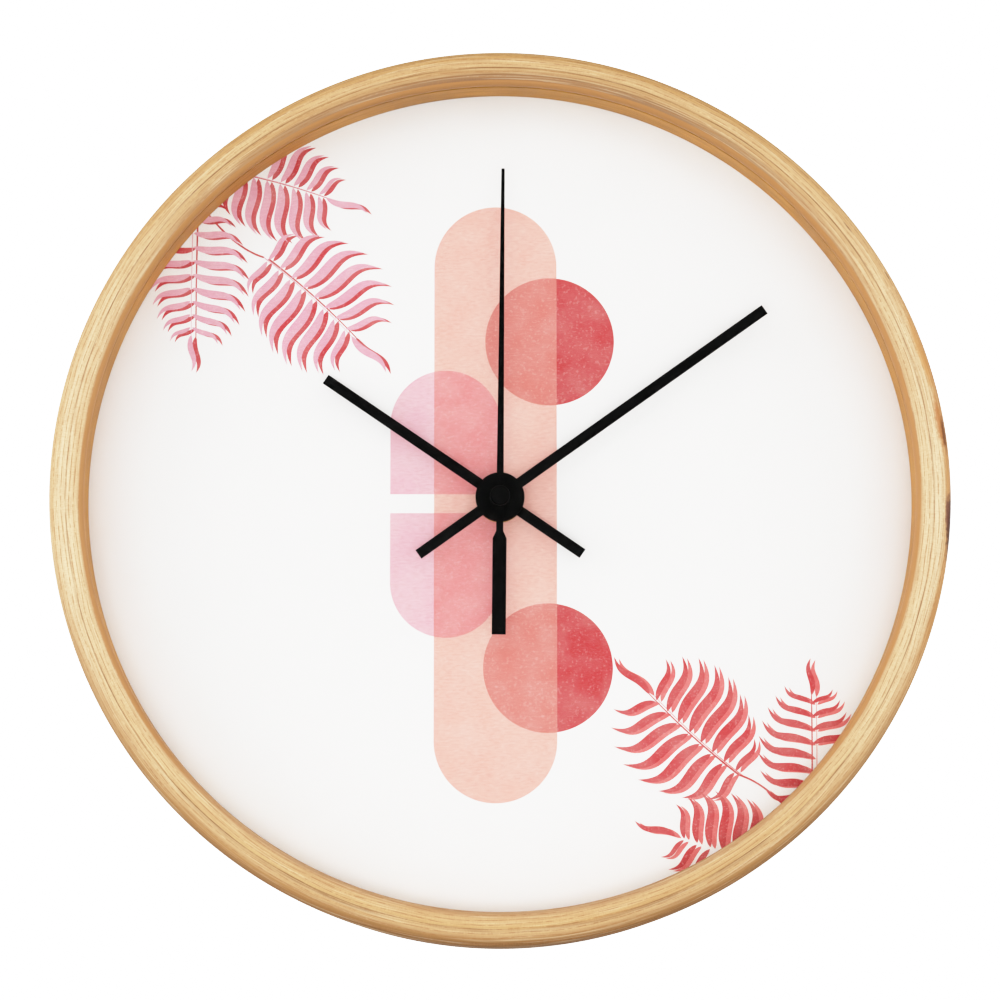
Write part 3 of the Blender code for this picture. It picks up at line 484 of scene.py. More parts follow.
def hoop_wood():
    nodes = Nodes("hoop_wood", Roughness=0.5, Specular_IOR_Level=0.25)
    where = polar(nodes)
    r, _, sine, depth = where
    across = nodes.math("DIVIDE", nodes.math("SUBTRACT", r, LIP_R), HOOP_R - LIP_R)
    forward = nodes.math("DIVIDE", depth, -HOOP_DEPTH)
    base = hoop_tones(nodes, where, across, forward)
    base, height = hoop_grain(nodes, where, base)

    seam = glue_lines(nodes, where)
    broken = nodes.ramp(fibres(nodes, where, 9.0, 300, 1.0), [(0.35, 0.35), (0.60, 0.95)])
    base = nodes.mix(nodes.times(seam, broken), base, colour(126, 88, 50))

    wall = nodes.ramp(across, [(0.03, 1.0), (0.10, 0.0)])
    base = nodes.mix(nodes.times(wall, nodes.ramp(forward, WALL_TOP)), base, colour(188, 134, 62))
    # painted shade: a tan band on the lip's inner rounding, all round except at the bottom
    rim = nodes.ramp(across, [(0.115, 1.0), (0.150, 0.0)])
    rim = nodes.times(rim, nodes.ramp(upward(nodes, sine), [(0.06, 0.0), (0.20, 0.9)]))
    base = nodes.mix(rim, base, colour(184, 134, 80))

    place = nodes.place()
    for at, size, tone, strength in KNOTS:
        knot = spot(nodes, place, Vector(at) * MM, Vector(size) * MM)
        base = nodes.mix(nodes.times(knot, strength), base, colour(*tone))

    nodes.bump(nodes.math("SUBTRACT", height, nodes.times(seam, 1.2)), 0.06 * MM)
    return nodes.finish(base)


def dial_paper():
    """Off-white paper, with painted shade round its edge except at the top and the bottom."""
    nodes = Nodes("dial_paper", Roughness=0.6)
    place = nodes.place()
    r, _, sine, _ = polar(nodes)
    mottle = nodes.noise(place, 180.0, 3.0)
    base = nodes.ramp(mottle, [(0.3, colour(250, 250, 250)), (0.7, colour(251, 251, 251))])
    # painted shade: the paper darkens near its edge, where the hoop's walls shade it, except at the top and
    # bottom
    rim = nodes.ramp(nodes.math("DIVIDE", r, DIAL_R), [(0.84, 0.0), (0.93, 0.7), (1.0, 1.0)])
    sides = nodes.ramp(upward(nodes, sine), [(0.12, 0.0), (0.45, 1.0), (0.78, 0.8), (0.97, 0.0)])
    base = nodes.mix(nodes.times(rim, sides), base, colour(237, 231, 230))
    nodes.bump(nodes.noise(place, 3200.0, 2.0), 0.01 * MM)
    return nodes.finish(base)


def ink(name, plain, over=None, side=0.0, limit=0.0):
    """Watercolour ink on laid paper. Where it lies over the capsule it takes a second colour: below the limit
    in X when side is 1, and beyond it when side is -1."""
    nodes = Nodes(name, Roughness=0.62)
    place = nodes.place()
    base = plain
    if over is not None:
        on_capsule = nodes.math("LESS_THAN", nodes.times(nodes.split(place)[0], side), side * limit)
        base = nodes.mix(on_capsule, plain, over)
    wash = nodes.noise(place, 130.0, 4.0)
    laid = nodes.noise(nodes.scaled(place, 520, 1, 2000), 1.0, 3.0)
    speck = nodes.noise(place, 1500.0, 1.0)
    base = nodes.stain(base, wash, 0.35, 0.75, 0.12, (1.0, 0.93, 0.88, 1.0))
    base = nodes.mix(nodes.ramp(laid, [(0.34, 0.19), (0.54, 0.0)]), base, (0.55, 0.23, 0.20, 1.0))
    base = nodes.stain(base, laid, 0.50, 0.68, 0.06, (1.0, 0.90, 0.86, 1.0))
    base = nodes.stain(base, speck, 0.60, 0.72, 0.12, (1.0, 0.80, 0.76, 1.0))
    return nodes.finish(base)


def satin(name, plain, worn, roughness=0.4, metallic=0.0, scale=900.0, depth=0.01, **inputs):
    """A plain finish with fine mottling in its colour, gloss and surface. Depth is in mm."""
    spread = 0.06
    nodes = Nodes(name, Metallic=metallic, **inputs)
    place = nodes.place()
    mottle = nodes.noise(place, scale, 3.0)
    base = nodes.ramp(mottle, [(0.35, plain), (0.75, worn)])
    gloss = nodes.noise(place, scale / 6, 2.0)
    nodes.bump(mottle, depth * MM)
    return nodes.finish(base, nodes.ramp(gloss, [(0.3, roughness - spread), (0.7, roughness + spread)]))


def clear_sheet():
    """Clear acrylic with a coat against reflections. Light from lamps passes straight through it."""
    nodes = Nodes("clear_acrylic", Roughness=0.0, IOR=1.2, Transmission_Weight=1.0)
    nodes.shader.inputs["Base Color"].default_value = (0.933, 0.936, 0.936, 1.0)
    clear = nodes.add("BsdfTransparent").outputs[0]
    path = nodes.add("LightPath").outputs["Is Shadow Ray"]
    mixed = nodes.add("MixShader", path, nodes.shader.outputs[0], clear).outputs[0]
    nodes.tree.links.new(mixed, nodes.tree.nodes["Material Output"].inputs["Surface"])
    return nodes.material


# The hoop and the sheets inside it


def hoop():
    outer, inner, crown = 4 * MM, 2 * MM, 0.12 * MM
    chamfer, soft, steps = 1 * MM, 0.4 * MM, 8
    left, right, flat = LIP_R + inner, HOOP_R - outer, HOOP_DEPTH - crown
    profile = [(HOOP_R, chamfer), *arc((right, flat - outer), outer, 0, 90, 16)]
    for k in range(1, steps):
        share = k / steps
        profile.append((right + (left - right) * share, flat + crown * sin(pi * share)))
    profile += arc((left, flat - inner), inner, 90, 180, 10)
    profile += [(LIP_R, LIP_REAR), (REBATE_R, LIP_REAR), (REBATE_R, soft), (REBATE_R + soft, 0)]
    profile.append((HOOP_R - chamfer, 0))
    piece("wooden_hoop", turned(profile, FINE_SIDES), hoop_wood(), "clock", "hoop_wood", "frame_hoop")


def sheets():
    rear, front = heights("lens")
    soft = 0.3 * MM
    lens = section(0, LENS_R, rear, front, soft, soft)
    piece("clear_lens", turned(lens, closed=False), clear_sheet(), "clock", "clear_acrylic", "lens")

    rear, front = heights("spacer_ring")
    thickness = 2 * MM
    ring = section(SPACER_R - thickness, SPACER_R, rear, front)
    piece("veneer_spacer", turned(ring, FINE_SIDES), veneer(), "clock", "inner_wood", "spacer_ring")

    edge = 0.1 * MM
    disc = section(SHAFT_HOLE_R, DIAL_R, DIAL_REAR, DIAL_FRONT, ahead=edge)
    piece("dial_sheet", turned(disc), dial_paper(), "clock", "dial_print", "dial")


def veneer():
    nodes = Nodes("veneer", Roughness=0.55, Specular_IOR_Level=0.25)
    where = polar(nodes)
    streaks = fibres(nodes, where, 9.0, 700, 3.0)
    base = nodes.ramp(streaks, [(0.32, colour(196, 142, 62)), (0.68, colour(172, 120, 46))])
    base = nodes.stain(base, fibres(nodes, where, 6.0, 90), 0.42, 0.70, 0.5, colour(150, 108, 62))
    nodes.bump(streaks, 0.02 * MM)
    return nodes.finish(base)


hoop()
sheets()


# Hands


BLACK = satin("black_enamel", colour(2, 2, 2), colour(5, 5, 5), 0.5, depth=0.004, Specular_IOR_Level=0.05)
OVERLAP = 0.1 * MM  # how far a collet reaches into its hand


def hand_outline(above, below, hub_r, sides=24):
    """A hand that points up, as (half width, distance from the axis) points from the tip to the hub, and
    from the hub to the tail's end."""
    start = 90 - degrees(asin(above[-1][0] / hub_r))
    end = -90 + degrees(asin(below[0][0] / hub_r))
    right = above[:-1] + arc((0, 0), hub_r, start, end, sides)
    right += [(half, -down) for half, down in below[1:]]
    return right + [(-x, y) for x, y in reversed(right)]


def clockwise(mesh, angle):
    """Turns a mesh from twelve o'clock to an angle in degrees."""
    mesh.transform(Matrix.Rotation(-radians(angle), 4, "Z"))
    return mesh


def face_points(node):
    """A node's corners as they are seen from the front."""
    return [Vector((v.co.x, v.co.z - AXIS_Z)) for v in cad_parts[node].data.vertices]


def pointing(node):
    """The angle in degrees, clockwise from twelve, that a hand's node points to."""
    points = face_points(node)
    longest = max(p.length for p in points)
    tip = [p for p in points if p.length > longest - 0.1 * MM]
    return degrees(atan2(sum(p.x for p in tip), sum(p.y for p in tip)))


def reach(node, angle):
    """How far a hand's node goes above and below the axis, and half its width, when it points to twelve."""
    points = [Matrix.Rotation(radians(angle), 2) @ point for point in face_points(node)]
    return max(p.y for p in points), -min(p.y for p in points), max(p.x for p in points)


def bar_hand(name, node, body, bore, collet_r):
    """A stamped hand with straight sides and square ends, and its collet behind the hub."""
    angle = pointing(node)
    length, tail, hub = reach(node, angle)
    rear, front = heights(node)
    sheet, half_width, edge, soft = 0.6 * MM, 1.47 * MM, 0.06 * MM, 0.15 * MM
    above, below = [(half_width, length), (half_width, hub)], [(half_width, hub), (half_width, tail)]
    outline = hand_outline(above, below, hub)
    flat = plate(outline, front - sheet, front, [circle(bore, 48)], edge)
    collet = section(bore, collet_r, rear, front - sheet + OVERLAP, soft)
    mesh = combined(flat, turned(collet, 48))
    piece(name, clockwise(mesh, angle), BLACK, body, "black_enamel", node)


def second_hand():
    """A thin tapered hand with a bar for a counterweight and a round cap over its hub."""
    node = "second_hand"
    angle = pointing(node)
    length, tail, hub = reach(node, angle)
    rear, front = heights(node)
    sheet, edge = 0.5 * MM, 0.05 * MM
    root, tip, weight = 1.0 * MM, 0.47 * MM, 1.98 * MM
    neck_end, weight_start = 10.0 * MM, 12.1 * MM
    below = [(root, hub), (root, neck_end), (weight, weight_start), (weight, tail)]
    flat = plate(hand_outline([(tip, length), (root, hub)], below, hub), rear, rear + sheet, bevel=edge)
    cap_r, cap_rear, soft = hub - 0.2 * MM, rear + 0.2 * MM, 0.5 * MM
    cap = [(0, cap_rear), (cap_r, cap_rear), *arc((cap_r - soft, front - soft), soft, 0, 90, 8), (0, front)]
    mesh = combined(flat, turned(cap, 64, closed=False))
    piece("seconds_pointer", clockwise(mesh, angle), BLACK, "second", "black_enamel", node)


bar_hand("hour_pointer", "hour_hand", "hour", 2.9 * MM, 4.2 * MM)
bar_hand("minute_pointer", "minute_hand", "minute", 1.8 * MM, 3.0 * MM)
second_hand()


# The print on the dial: a capsule, two discs and two arches in washes of ink, and two sprays of leaves


INK_GAP = 0.001 * MM  # under the ink, so that it doesn't share the dial's face
INK_THICKNESS = 0.02 * MM
INK_RISE = 0.0002 * MM  # between shapes in one ink, so that they can cross
CAPSULE_AT, CAPSULE_R, CAPSULE_REACH = (-1.3 * MM, -0.8 * MM), 17.5 * MM, 85.5 * MM
DISC_R = 18.4 * MM
DISC_AT = ((14.2 * MM, 45.6 * MM), (13.6 * MM, -48.0 * MM))
ARCH_X, ARCH_R, ARCH_LENGTH = -15.5 * MM, 15.8 * MM, 35.6 * MM
ARCH_FEET = (1.6 * MM, -3.8 * MM)


def printed(name, outlines, layer, material, bored=False):
    """Ink on the dial. A higher layer lies over a lower one. Bored ink ends at the hole for the shaft."""
    mesh = slab(outlines, DIAL_FRONT + INK_GAP, DIAL_FRONT + (layer + 1) * INK_THICKNESS, INK_RISE)
    if bored:
        mesh = combined(mesh, slab([circle(SHAFT_HOLE_R, 64)], DIAL_REAR, DIAL_FRONT + MM), "DIFFERENCE")
    piece(name, mesh, material, "clock", "dial_print")


def washes():
    x, y = CAPSULE_AT
    straight = CAPSULE_REACH - CAPSULE_R
    capsule = arc((x, y + straight), CAPSULE_R, 0, 180, 64) + arc((x, y - straight), CAPSULE_R, 180, 360, 64)
    printed("print_capsule", [capsule], 0, ink("capsule_ink", colour(236, 177, 165)), True)
    red = ink("disc_ink", colour(187, 41, 50), colour(210, 117, 108), 1.0, x + CAPSULE_R)
    for number, at in enumerate(DISC_AT, 1):
        printed(f"print_disc_{number}", [circle(DISC_R, 128, at)], 1, red)
    pink = ink("arch_ink", colour(232, 177, 190), colour(226, 134, 136), -1.0, x - CAPSULE_R)
    for number, (foot, up) in enumerate(zip(ARCH_FEET, (1, -1)), 1):
        outline = arc((ARCH_X, foot + up * (ARCH_LENGTH - ARCH_R)), ARCH_R, 0, 180 * up, 64)
        outline += [(ARCH_X - ARCH_R, foot), (ARCH_X + ARCH_R, foot)]
        printed(f"print_arch_{number}", [outline], 1, pink, True)


# Each frond: the ends and the bend of its rib, its pairs of leaflets, the longest leaflet on the left and on
# the right of the way to its tip, and the length of the leaflet at its tip, all in mm
FRONDS = (
    ((-84.0, 96.5), (-66.0, 93.5), (-49.9, 87.4), 9, 14.0, 17.5, 12.5),
    ((-67.8, 70.1), (-54.5, 60.0), (-42.5, 47.2), 8, 20.5, 20.5, 14.5),
    ((-88.0, 87.0), (-88.6, 66.0), (-88.4, 47.5), 10, 16.0, 12.5, 10.5),
)
STEM = ((-84.5, 83.5), (-76.0, 72.6), (-67.8, 70.1))  # of the middle frond, in the red ink alone
SPRAY_CENTRE = (-0.1, -4.1)  # one spray is the other turned half round this point
UNDER_OFFSET = (1.35 * MM, -0.45 * MM)  # how far the ink below lies from the ink above
RED_RIB_HALF, PALE_RIB_HALF, STEM_HALF = 0.22 * MM, 0.11 * MM, 0.26 * MM  # half their widths
PRINT_EDGE = DIAL_R - 0.6 * MM  # the print goes on under the veneer
UNDER, OVER = 2, 3  # the layers of the two inks


def along(start, bend, end, share):
    """A point on a curve that leaves its start for the bend and then turns to its end."""
    first, second, third = Vector(start), Vector(bend), Vector(end)
    return first.lerp(second, share).lerp(second.lerp(third, share), share)


def ribbon(centre, halves):
    """An outline round a centre line, with half its width at each point."""
    left, right = [], []
    for k, (point, half) in enumerate(zip(centre, halves)):
        way = (centre[min(k + 1, len(centre) - 1)] - centre[max(k - 1, 0)]).normalized()
        side = Vector((-way.y, way.x)) * half
        left.append(point + side)
        right.append(point - side)
    return left + right[::-1]


def leaflet(root, angle, length, lean, steps=18):
    """A blade in the shape of an S, widest near its middle, and slimmer for its length the longer it is. Lean
    is how much steeper it starts out, in radians."""
    bend_at, sway, thinnest = 0.55 * length, 0.055 * length, 0.002
    half_width = 0.40 * length ** 0.75 * MM ** 0.25
    tip = root + length * Vector((cos(angle), sin(angle)))
    bend = root + bend_at * Vector((cos(angle + lean), sin(angle + lean)))
    shares = [k / steps for k in range(steps + 1)]
    halves = [half_width * max(share, thinnest) ** 0.6 * max(1 - share, thinnest) ** 0.95 for share in shares]
    aside = sway * (1 if lean > 0 else -1) * Vector((-sin(angle), cos(angle)))
    centre = [along(root, bend, tip, share) - aside * sin(2 * pi * share) for share in shares]
    return ribbon(centre, halves)


def frond(rib_half, start, bend, end, pairs, left, right, last):
    """The outlines of one frond: its rib and its leaflets, which spread less and less towards its tip."""
    start, bend, end = (Vector(point) * MM for point in (start, bend, end))
    steps, ahead, first_pair, gap = 16, 0.02, 0.35, 0.35 * MM
    spread_at_root, spread_lost, lean, tip_lean = radians(84), radians(30), radians(20), radians(6)
    rib = [along(start, bend, end, k / steps) for k in range(steps + 1)]
    outlines = [ribbon(rib, [rib_half * (1.2 - 0.6 * k / steps) for k in range(steps + 1)])]
    for k in range(pairs):
        share = (k + first_pair) / pairs
        root = along(start, bend, end, share)
        way = along(start, bend, end, share + ahead) - root
        full = sin(pi * (0.14 + 0.72 * share)) * MM
        for side, longest in ((1, left), (-1, right)):
            angle = atan2(way.y, way.x) + side * (spread_at_root - spread_lost * share)
            foot = root + gap * Vector((cos(angle), sin(angle)))
            outlines.append(leaflet(foot, angle, longest * full, side * lean))
    way = end - bend
    outlines.append(leaflet(end, atan2(way.y, way.x), last * MM, tip_lean))
    return outlines


def trimmed(outline):
    """An outline cut off by a straight line across the dial's edge. None if nothing is left."""
    centre = sum((Vector(point) for point in outline), Vector((0, 0))) / len(outline)
    out = centre.normalized()
    kept = []
    for first, second in zip(outline, outline[1:] + outline[:1]):
        a, b = PRINT_EDGE - out.dot(first), PRINT_EDGE - out.dot(second)
        if a >= 0:
            kept.append(first)
        if a * b < 0:
            kept.append(Vector(first).lerp(Vector(second), a / (a - b)))
    return kept if len(kept) > 2 and out.dot(centre) < PRINT_EDGE else None


def spray(number, over, under):
    """Three fronds in two inks, one a little to the side of the other. The second spray is the first one
    turned round, and has its red ink on top."""
    steps = 12
    stem = [along(*(Vector(point) * MM for point in STEM), k / steps) for k in range(steps + 1)]
    stem = ribbon(stem, [STEM_HALF] * len(stem))
    centre = 2 * MM * Vector(SPRAY_CENTRE)
    red_layer = UNDER if number == 1 else OVER
    for name, layer, material, offset in (
        (f"print_spray_{number}_under", UNDER, under, Vector(UNDER_OFFSET)),
        (f"print_spray_{number}_over", OVER, over, Vector((0, 0))),
    ):
        red = layer == red_layer
        rib_half = RED_RIB_HALF if red else PALE_RIB_HALF
        shapes = [(stem, Vector((0, 0)))] if red else []
        shapes += [(outline, offset) for shape in FRONDS for outline in frond(rib_half, *shape)]
        if number == 2:
            shapes = [([centre - point for point in outline], shift) for outline, shift in shapes]
        cut = [trimmed([point + shift for point in outline]) for outline, shift in shapes]
        printed(name, [outline for outline in cut if outline], layer, material)


def sprays():
    spray(1, ink("leaf_pink", colour(223, 160, 179)), ink("leaf_red", colour(188, 36, 48)))
    spray(2, ink("leaf_coral", colour(192, 44, 52)), ink("leaf_salmon", colour(220, 98, 98)))


washes()
sprays()


# Fixings on the shaft, between the dial and the hour hand


def shaft_fixings():
    brass = PLAIN["brass"]
    rear, front = heights("shaft_washer")
    edge, soft = radius("shaft_washer"), 0.12 * MM
    ring = section(SHAFT_HOLE_R, edge, rear, front, soft, soft)
    ring[-1:] = [(SHAFT_HOLE_R + soft, front), (SHAFT_HOLE_R, front - soft)]
    piece("brass_washer", turned(ring, 96), brass, "clock", "brass", "shaft_washer")

    rear, front = heights("shaft_nut")
    corner, cone = radius("shaft_nut"), 0.45 * MM
    flat_r, beyond = corner * cos(pi / 6) - 0.1 * MM, corner + 0.02 * MM
    prism = plate(circle(corner, 6), rear, front, [circle(SHAFT_HOLE_R, 48)])
    facing = [(0, rear), (flat_r, rear), (beyond, rear + cone), (beyond, front - cone)]
    facing += [(flat_r, front), (0, front)]
    nut = combined(prism, turned(facing, 96, closed=False), "INTERSECT")
    piece("hex_nut", nut, brass, "clock", "brass", "shaft_nut", sharp=30)

    rear, front = heights("hand_nut")
    outer, bore, soft = radius("hand_nut"), 1.2 * MM, 0.2 * MM
    cap = section(bore, outer, rear, front, ahead=soft)
    piece("round_hand_nut", turned(cap, 64), brass, "minute", "brass", "hand_nut")


# The back: the panel and its screws, the hanger, and the movement


NAIL_Y = -AXIS_Z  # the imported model's zero is at the nail
KEY_LENGTH = 8.0 * MM
SCREW_HOLE_R = 1.6 * MM
SCREWS = ("hanger_screw_left", "hanger_screw_right", *(f"panel_screw_{k}" for k in range(1, 5)))


def panel():
    rear, front = heights("back_panel")
    margin, corner, nail_r, edge = 3 * MM, 4 * MM, 6 * MM, 0.2 * MM
    window = radius("movement_cover") + margin
    nail_room = arc((0, NAIL_Y), nail_r, 0, 180, 24) + arc((0, NAIL_Y - KEY_LENGTH), nail_r, 180, 360, 24)
    holes = [rounded_box(window, window, corner), nail_room]
    holes += [circle(SCREW_HOLE_R, 24, middle(screw)) for screw in SCREWS]
    mesh = plate(circle(radius("back_panel"), SIDES), rear, front, holes, edge)
    piece("hardboard_back", mesh, hardboard(), "clock", "fibreboard", "back_panel")


def hanger():
    rear, front = heights("hanger_plate")
    low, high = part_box("hanger_plate")
    slot_r, entry_r, corner, edge = 2.4 * MM, 4.8 * MM, 1.5 * MM, 0.12 * MM
    spread = degrees(asin(slot_r / entry_r))
    keyhole = arc((0, NAIL_Y), slot_r, 0, 180, 16)
    keyhole += arc((0, NAIL_Y - KEY_LENGTH), entry_r, 90 + spread, 450 - spread, 40)
    holes = [keyhole] + [circle(SCREW_HOLE_R, 24, middle(screw)) for screw in SCREWS[:2]]
    outline = rounded_box((high.x - low.x) / 2, (high.z - low.z) / 2, corner, middle("hanger_plate"))
    mesh = plate(outline, rear, front, holes, edge)
    piece("keyhole_hanger", mesh, PLAIN["zinc_steel"], "clock", "zinc_steel", "hanger_plate")


def screw(node):
    """A pan head screw with a cross recess, driven from behind, and the thread on its shank."""
    rear, front = heights(node)
    head_r, head_front, rim = radius(node), rear + 1.3 * MM, rear + 1.0 * MM
    dome, soft = 1.0 * MM, 0.1 * MM
    shank, crest, pitch, plain = 1.0 * MM, 1.2 * MM, 0.8 * MM, 0.3 * MM
    taper, point, point_r = 1.2 * MM, 0.4 * MM, 0.5 * MM
    profile = [(0, rear), *arc((head_r - soft - dome, rim - soft), dome, 270, 360, 8), (head_r, rim)]
    profile += [(head_r, head_front - soft), (head_r - soft, head_front), (shank, head_front)]
    height = head_front + plain
    while height + pitch < front - taper:
        profile += [(shank, height), (crest, height + pitch / 2)]
        height += pitch
    profile += [(shank, height), (point_r, front - point), (0, front)]

    arm, half, depth = 1.55 * MM, 0.34 * MM, 0.75 * MM
    cross, quarter = [], [(half, arm), (half, half), (arm, half)]
    for _ in range(4):
        cross += quarter
        quarter = [(y, -x) for x, y in quarter]
    recess = slab([cross], rear - 1 * MM, rear + depth)
    body = combined(turned(profile, 48, closed=False), recess, "DIFFERENCE")
    body.transform(Matrix.Translation((*middle(node), 0)))
    piece(node + "_turned", body, PLAIN["zinc_steel"], "clock", "zinc_steel", node, sharp=35)


def refined(name, node, material, body, slot, width):
    """A node's own shape, with its sharp edges rounded."""
    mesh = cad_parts[node].data.copy()
    normals = mesh.attributes.get("custom_normal")
    if normals:
        mesh.attributes.remove(normals)
    bm = bmesh.new()
    bm.from_mesh(mesh)
    bmesh.ops.remove_doubles(bm, verts=bm.verts, dist=2 * WELD)
    bmesh.ops.dissolve_limit(bm, angle_limit=radians(1), verts=bm.verts, edges=bm.edges)
    mesh = bevelled(finish_mesh(bm, node), width, 2)
    piece(name, mesh, material, body, slot, node, turn=Matrix.Identity(4))


def movement_back():
    black = PLAIN["black_plastic"]
    rear, front = heights("movement_cover")
    half = radius("movement_cover")
    _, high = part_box("battery")
    side_wall, low_wall, gap, bay_corner = 2 * MM, 1.8 * MM, 0.3 * MM, 0.8 * MM
    bay_low, bay_high = -half + low_wall, high.z - AXIS_Z + gap
    bay_middle = (0, (bay_low + bay_high) / 2)
    bay = rounded_box(half - side_wall, (bay_high - bay_low) / 2, bay_corner, bay_middle)
    stem, stem_r, corner, edge = middle("setting_knob"), 1.4 * MM, 1.5 * MM, 0.3 * MM
    mesh = plate(rounded_box(half, half, corner), rear, front, [bay, circle(stem_r, 32, stem)], edge)

    crest, root = rear - 0.3 * MM, rear + 0.3 * MM
    ring = turned([(6.3 * MM, crest), (6.9 * MM, crest), (7.1 * MM, root), (6.1 * MM, root)], 96)
    ring.transform(Matrix.Translation((*stem, 0)))
    mesh = combined(mesh, ring)
    stake_r, tip_r, tip, inset = 1.4 * MM, 1.1 * MM, rear - 0.35 * MM, 4 * MM
    for side in (-1, 1):
        for y in (half - inset, bay_high + inset):
            stake = [(0, tip), (tip_r, tip), (stake_r, rear), (stake_r, root), (0, root)]
            stake = turned(stake, 40, closed=False)
            stake.transform(Matrix.Translation((side * (half - inset), y, 0)))
            mesh = combined(mesh, stake)
    piece("moulded_cover", mesh, black, "clock", "black_plastic", "movement_cover")
    refined("moulded_case", "movement_case", black, "clock", "black_plastic", 0.25 * MM)
    refined("turning_knob", "setting_knob", black, "setting_knob", "black_plastic", 0.06 * MM)
    for end in ("positive", "negative"):
        node = f"battery_contact_{end}"
        refined(f"contact_{end}", node, PLAIN["zinc_steel"], "clock", "zinc_steel", 0.08 * MM)


def cell():
    """An AA cell: a steel can with a nub at its right end, and a plastic sleeve round it."""
    low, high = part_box("battery")
    cell_r, y = (high.z - low.z) / 2, (low.z + high.z) / 2 - AXIS_Z
    place = Matrix.Translation((0, y, -(low.y + high.y) / 2)) @ Matrix.Rotation(pi / 2, 4, "Y")
    can_r, dish, soft, lift = cell_r - 0.15 * MM, 1.2 * MM, 0.5 * MM, 0.3 * MM
    shoulder, nub_root, nub_r, nub_tip = high.x - 1.1 * MM, 2.8 * MM, 2.75 * MM, 2.5 * MM
    can = [(0, low.x), (can_r - dish, low.x), (can_r - dish, low.x + lift)]
    can += arc((can_r - soft, low.x + lift + soft), soft, 270, 360, 6)
    can += arc((can_r - soft, shoulder - soft), soft, 0, 90, 6)
    can += [(nub_root, shoulder), (nub_r, high.x - lift), (nub_tip, high.x), (0, high.x)]
    start, end = low.x + 0.55 * MM, shoulder - 0.25 * MM
    inner, lip = can_r - 0.5 * MM, 0.25 * MM
    tube = section(inner, cell_r, start, end, lip, lip)
    for name, mesh, material in (
        ("cell_can", turned(can, 96, closed=False), PLAIN["zinc_steel"]),
        ("cell_sleeve", turned(tube, 96), sleeve_print()),
    ):
        mesh.transform(place)
        piece(name, mesh, material, "clock", "battery_sleeve", "battery")


# Finishes of the back and of what is inside


def hardboard():
    nodes = Nodes("hardboard", Roughness=0.8, Specular_IOR_Level=0.3)
    place = nodes.place()
    clumps = nodes.noise(place, 260.0, 5.0)
    pale = nodes.noise(nodes.scaled(place, 3000, 900, 700), 1.0, 3.0)
    dark = nodes.noise(nodes.scaled(place, 700, 900, 3200), 1.0, 3.0)
    base = nodes.ramp(clumps, [(0.30, colour(150, 108, 68)), (0.70, colour(176, 132, 88))])
    base = nodes.stain(base, pale, 0.52, 0.66, 0.55, colour(206, 166, 118))
    base = nodes.stain(base, dark, 0.54, 0.68, 0.6, colour(112, 76, 46))
    nodes.bump(nodes.math("ADD", pale, dark), 0.05 * MM)
    return nodes.finish(base)


def sawn_pine():
    nodes = Nodes("sawn_pine", Roughness=0.7)
    rings = nodes.noise(nodes.scaled(nodes.place(), 700, 60, 180), 1.0, 4.0)
    tones = [(0.38, colour(226, 192, 142)), (0.55, colour(206, 164, 108)), (0.66, colour(176, 130, 80))]
    nodes.bump(rings, 0.06 * MM)
    return nodes.finish(nodes.ramp(rings, tones))


def wound_wire():
    wire_r = 0.13 * MM
    nodes = Nodes("wound_wire", Metallic=0.85, Roughness=0.3)
    turns = nodes.math("DIVIDE", nodes.split(nodes.place())[0], wire_r)
    height = nodes.math("PINGPONG", turns, 1.0)
    nodes.bump(height, 0.05 * MM)
    # painted shade: the wire's colour is darker down in the grooves between its turns
    return nodes.finish(nodes.ramp(height, [(0.0, colour(120, 52, 24)), (0.7, colour(206, 118, 70))]))


def sleeve_print():
    """A plain two-tone sleeve: blue, with a silver band at the positive end and a pale line beside it."""
    band_start, line_at, line_half = 13 * MM, 12.2 * MM, 0.4 * MM
    nodes = Nodes("sleeve_print", Roughness=0.28)
    place = nodes.place()
    x = nodes.split(place)[0]
    band = nodes.math("GREATER_THAN", x, band_start)
    line = nodes.math("LESS_THAN", nodes.math("ABSOLUTE", nodes.math("SUBTRACT", x, line_at)), line_half)
    base = nodes.mix(band, colour(34, 66, 120), colour(186, 190, 196))
    base = nodes.mix(line, base, colour(226, 228, 232))
    base = nodes.stain(base, nodes.noise(place, 700.0, 4.0), 0.62, 0.75, 0.2, colour(220, 224, 230))
    nodes.bump(nodes.noise(place, 150.0), 0.02 * MM)
    return nodes.finish(base)


# Plain finishes, as (name, two tones, roughness, metallic, the mottling's scale and its depth in mm)
PLAIN = {
    name: satin(name, colour(*fresh), colour(*worn), *finish)
    for name, fresh, worn, *finish in (
        ("zinc_steel", (196, 198, 201), (172, 175, 180), 0.32, 1.0, 700.0, 0.01),
        ("brass", (214, 176, 98), (188, 148, 76), 0.3, 1.0, 800.0, 0.008),
        ("magnet", (92, 92, 95), (70, 70, 74), 0.45, 0.8, 1600.0, 0.015),
        ("black_plastic", (30, 30, 31), (44, 44, 45), 0.5, 0.0, 3600.0, 0.03),
        ("natural_plastic", (232, 230, 218), (216, 213, 198), 0.42, 0.0, 500.0, 0.01),
        ("rubber", (26, 26, 26), (40, 40, 40), 0.85, 0.0, 2400.0, 0.04),
        ("circuit_board", (22, 92, 48), (34, 120, 62), 0.4, 0.0, 420.0, 0.02),
    )
}


def carry(material, *nodes):
    """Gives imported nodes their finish, where their own shape stays."""
    for node in nodes:
        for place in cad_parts[node].material_slots:
            place.material = material


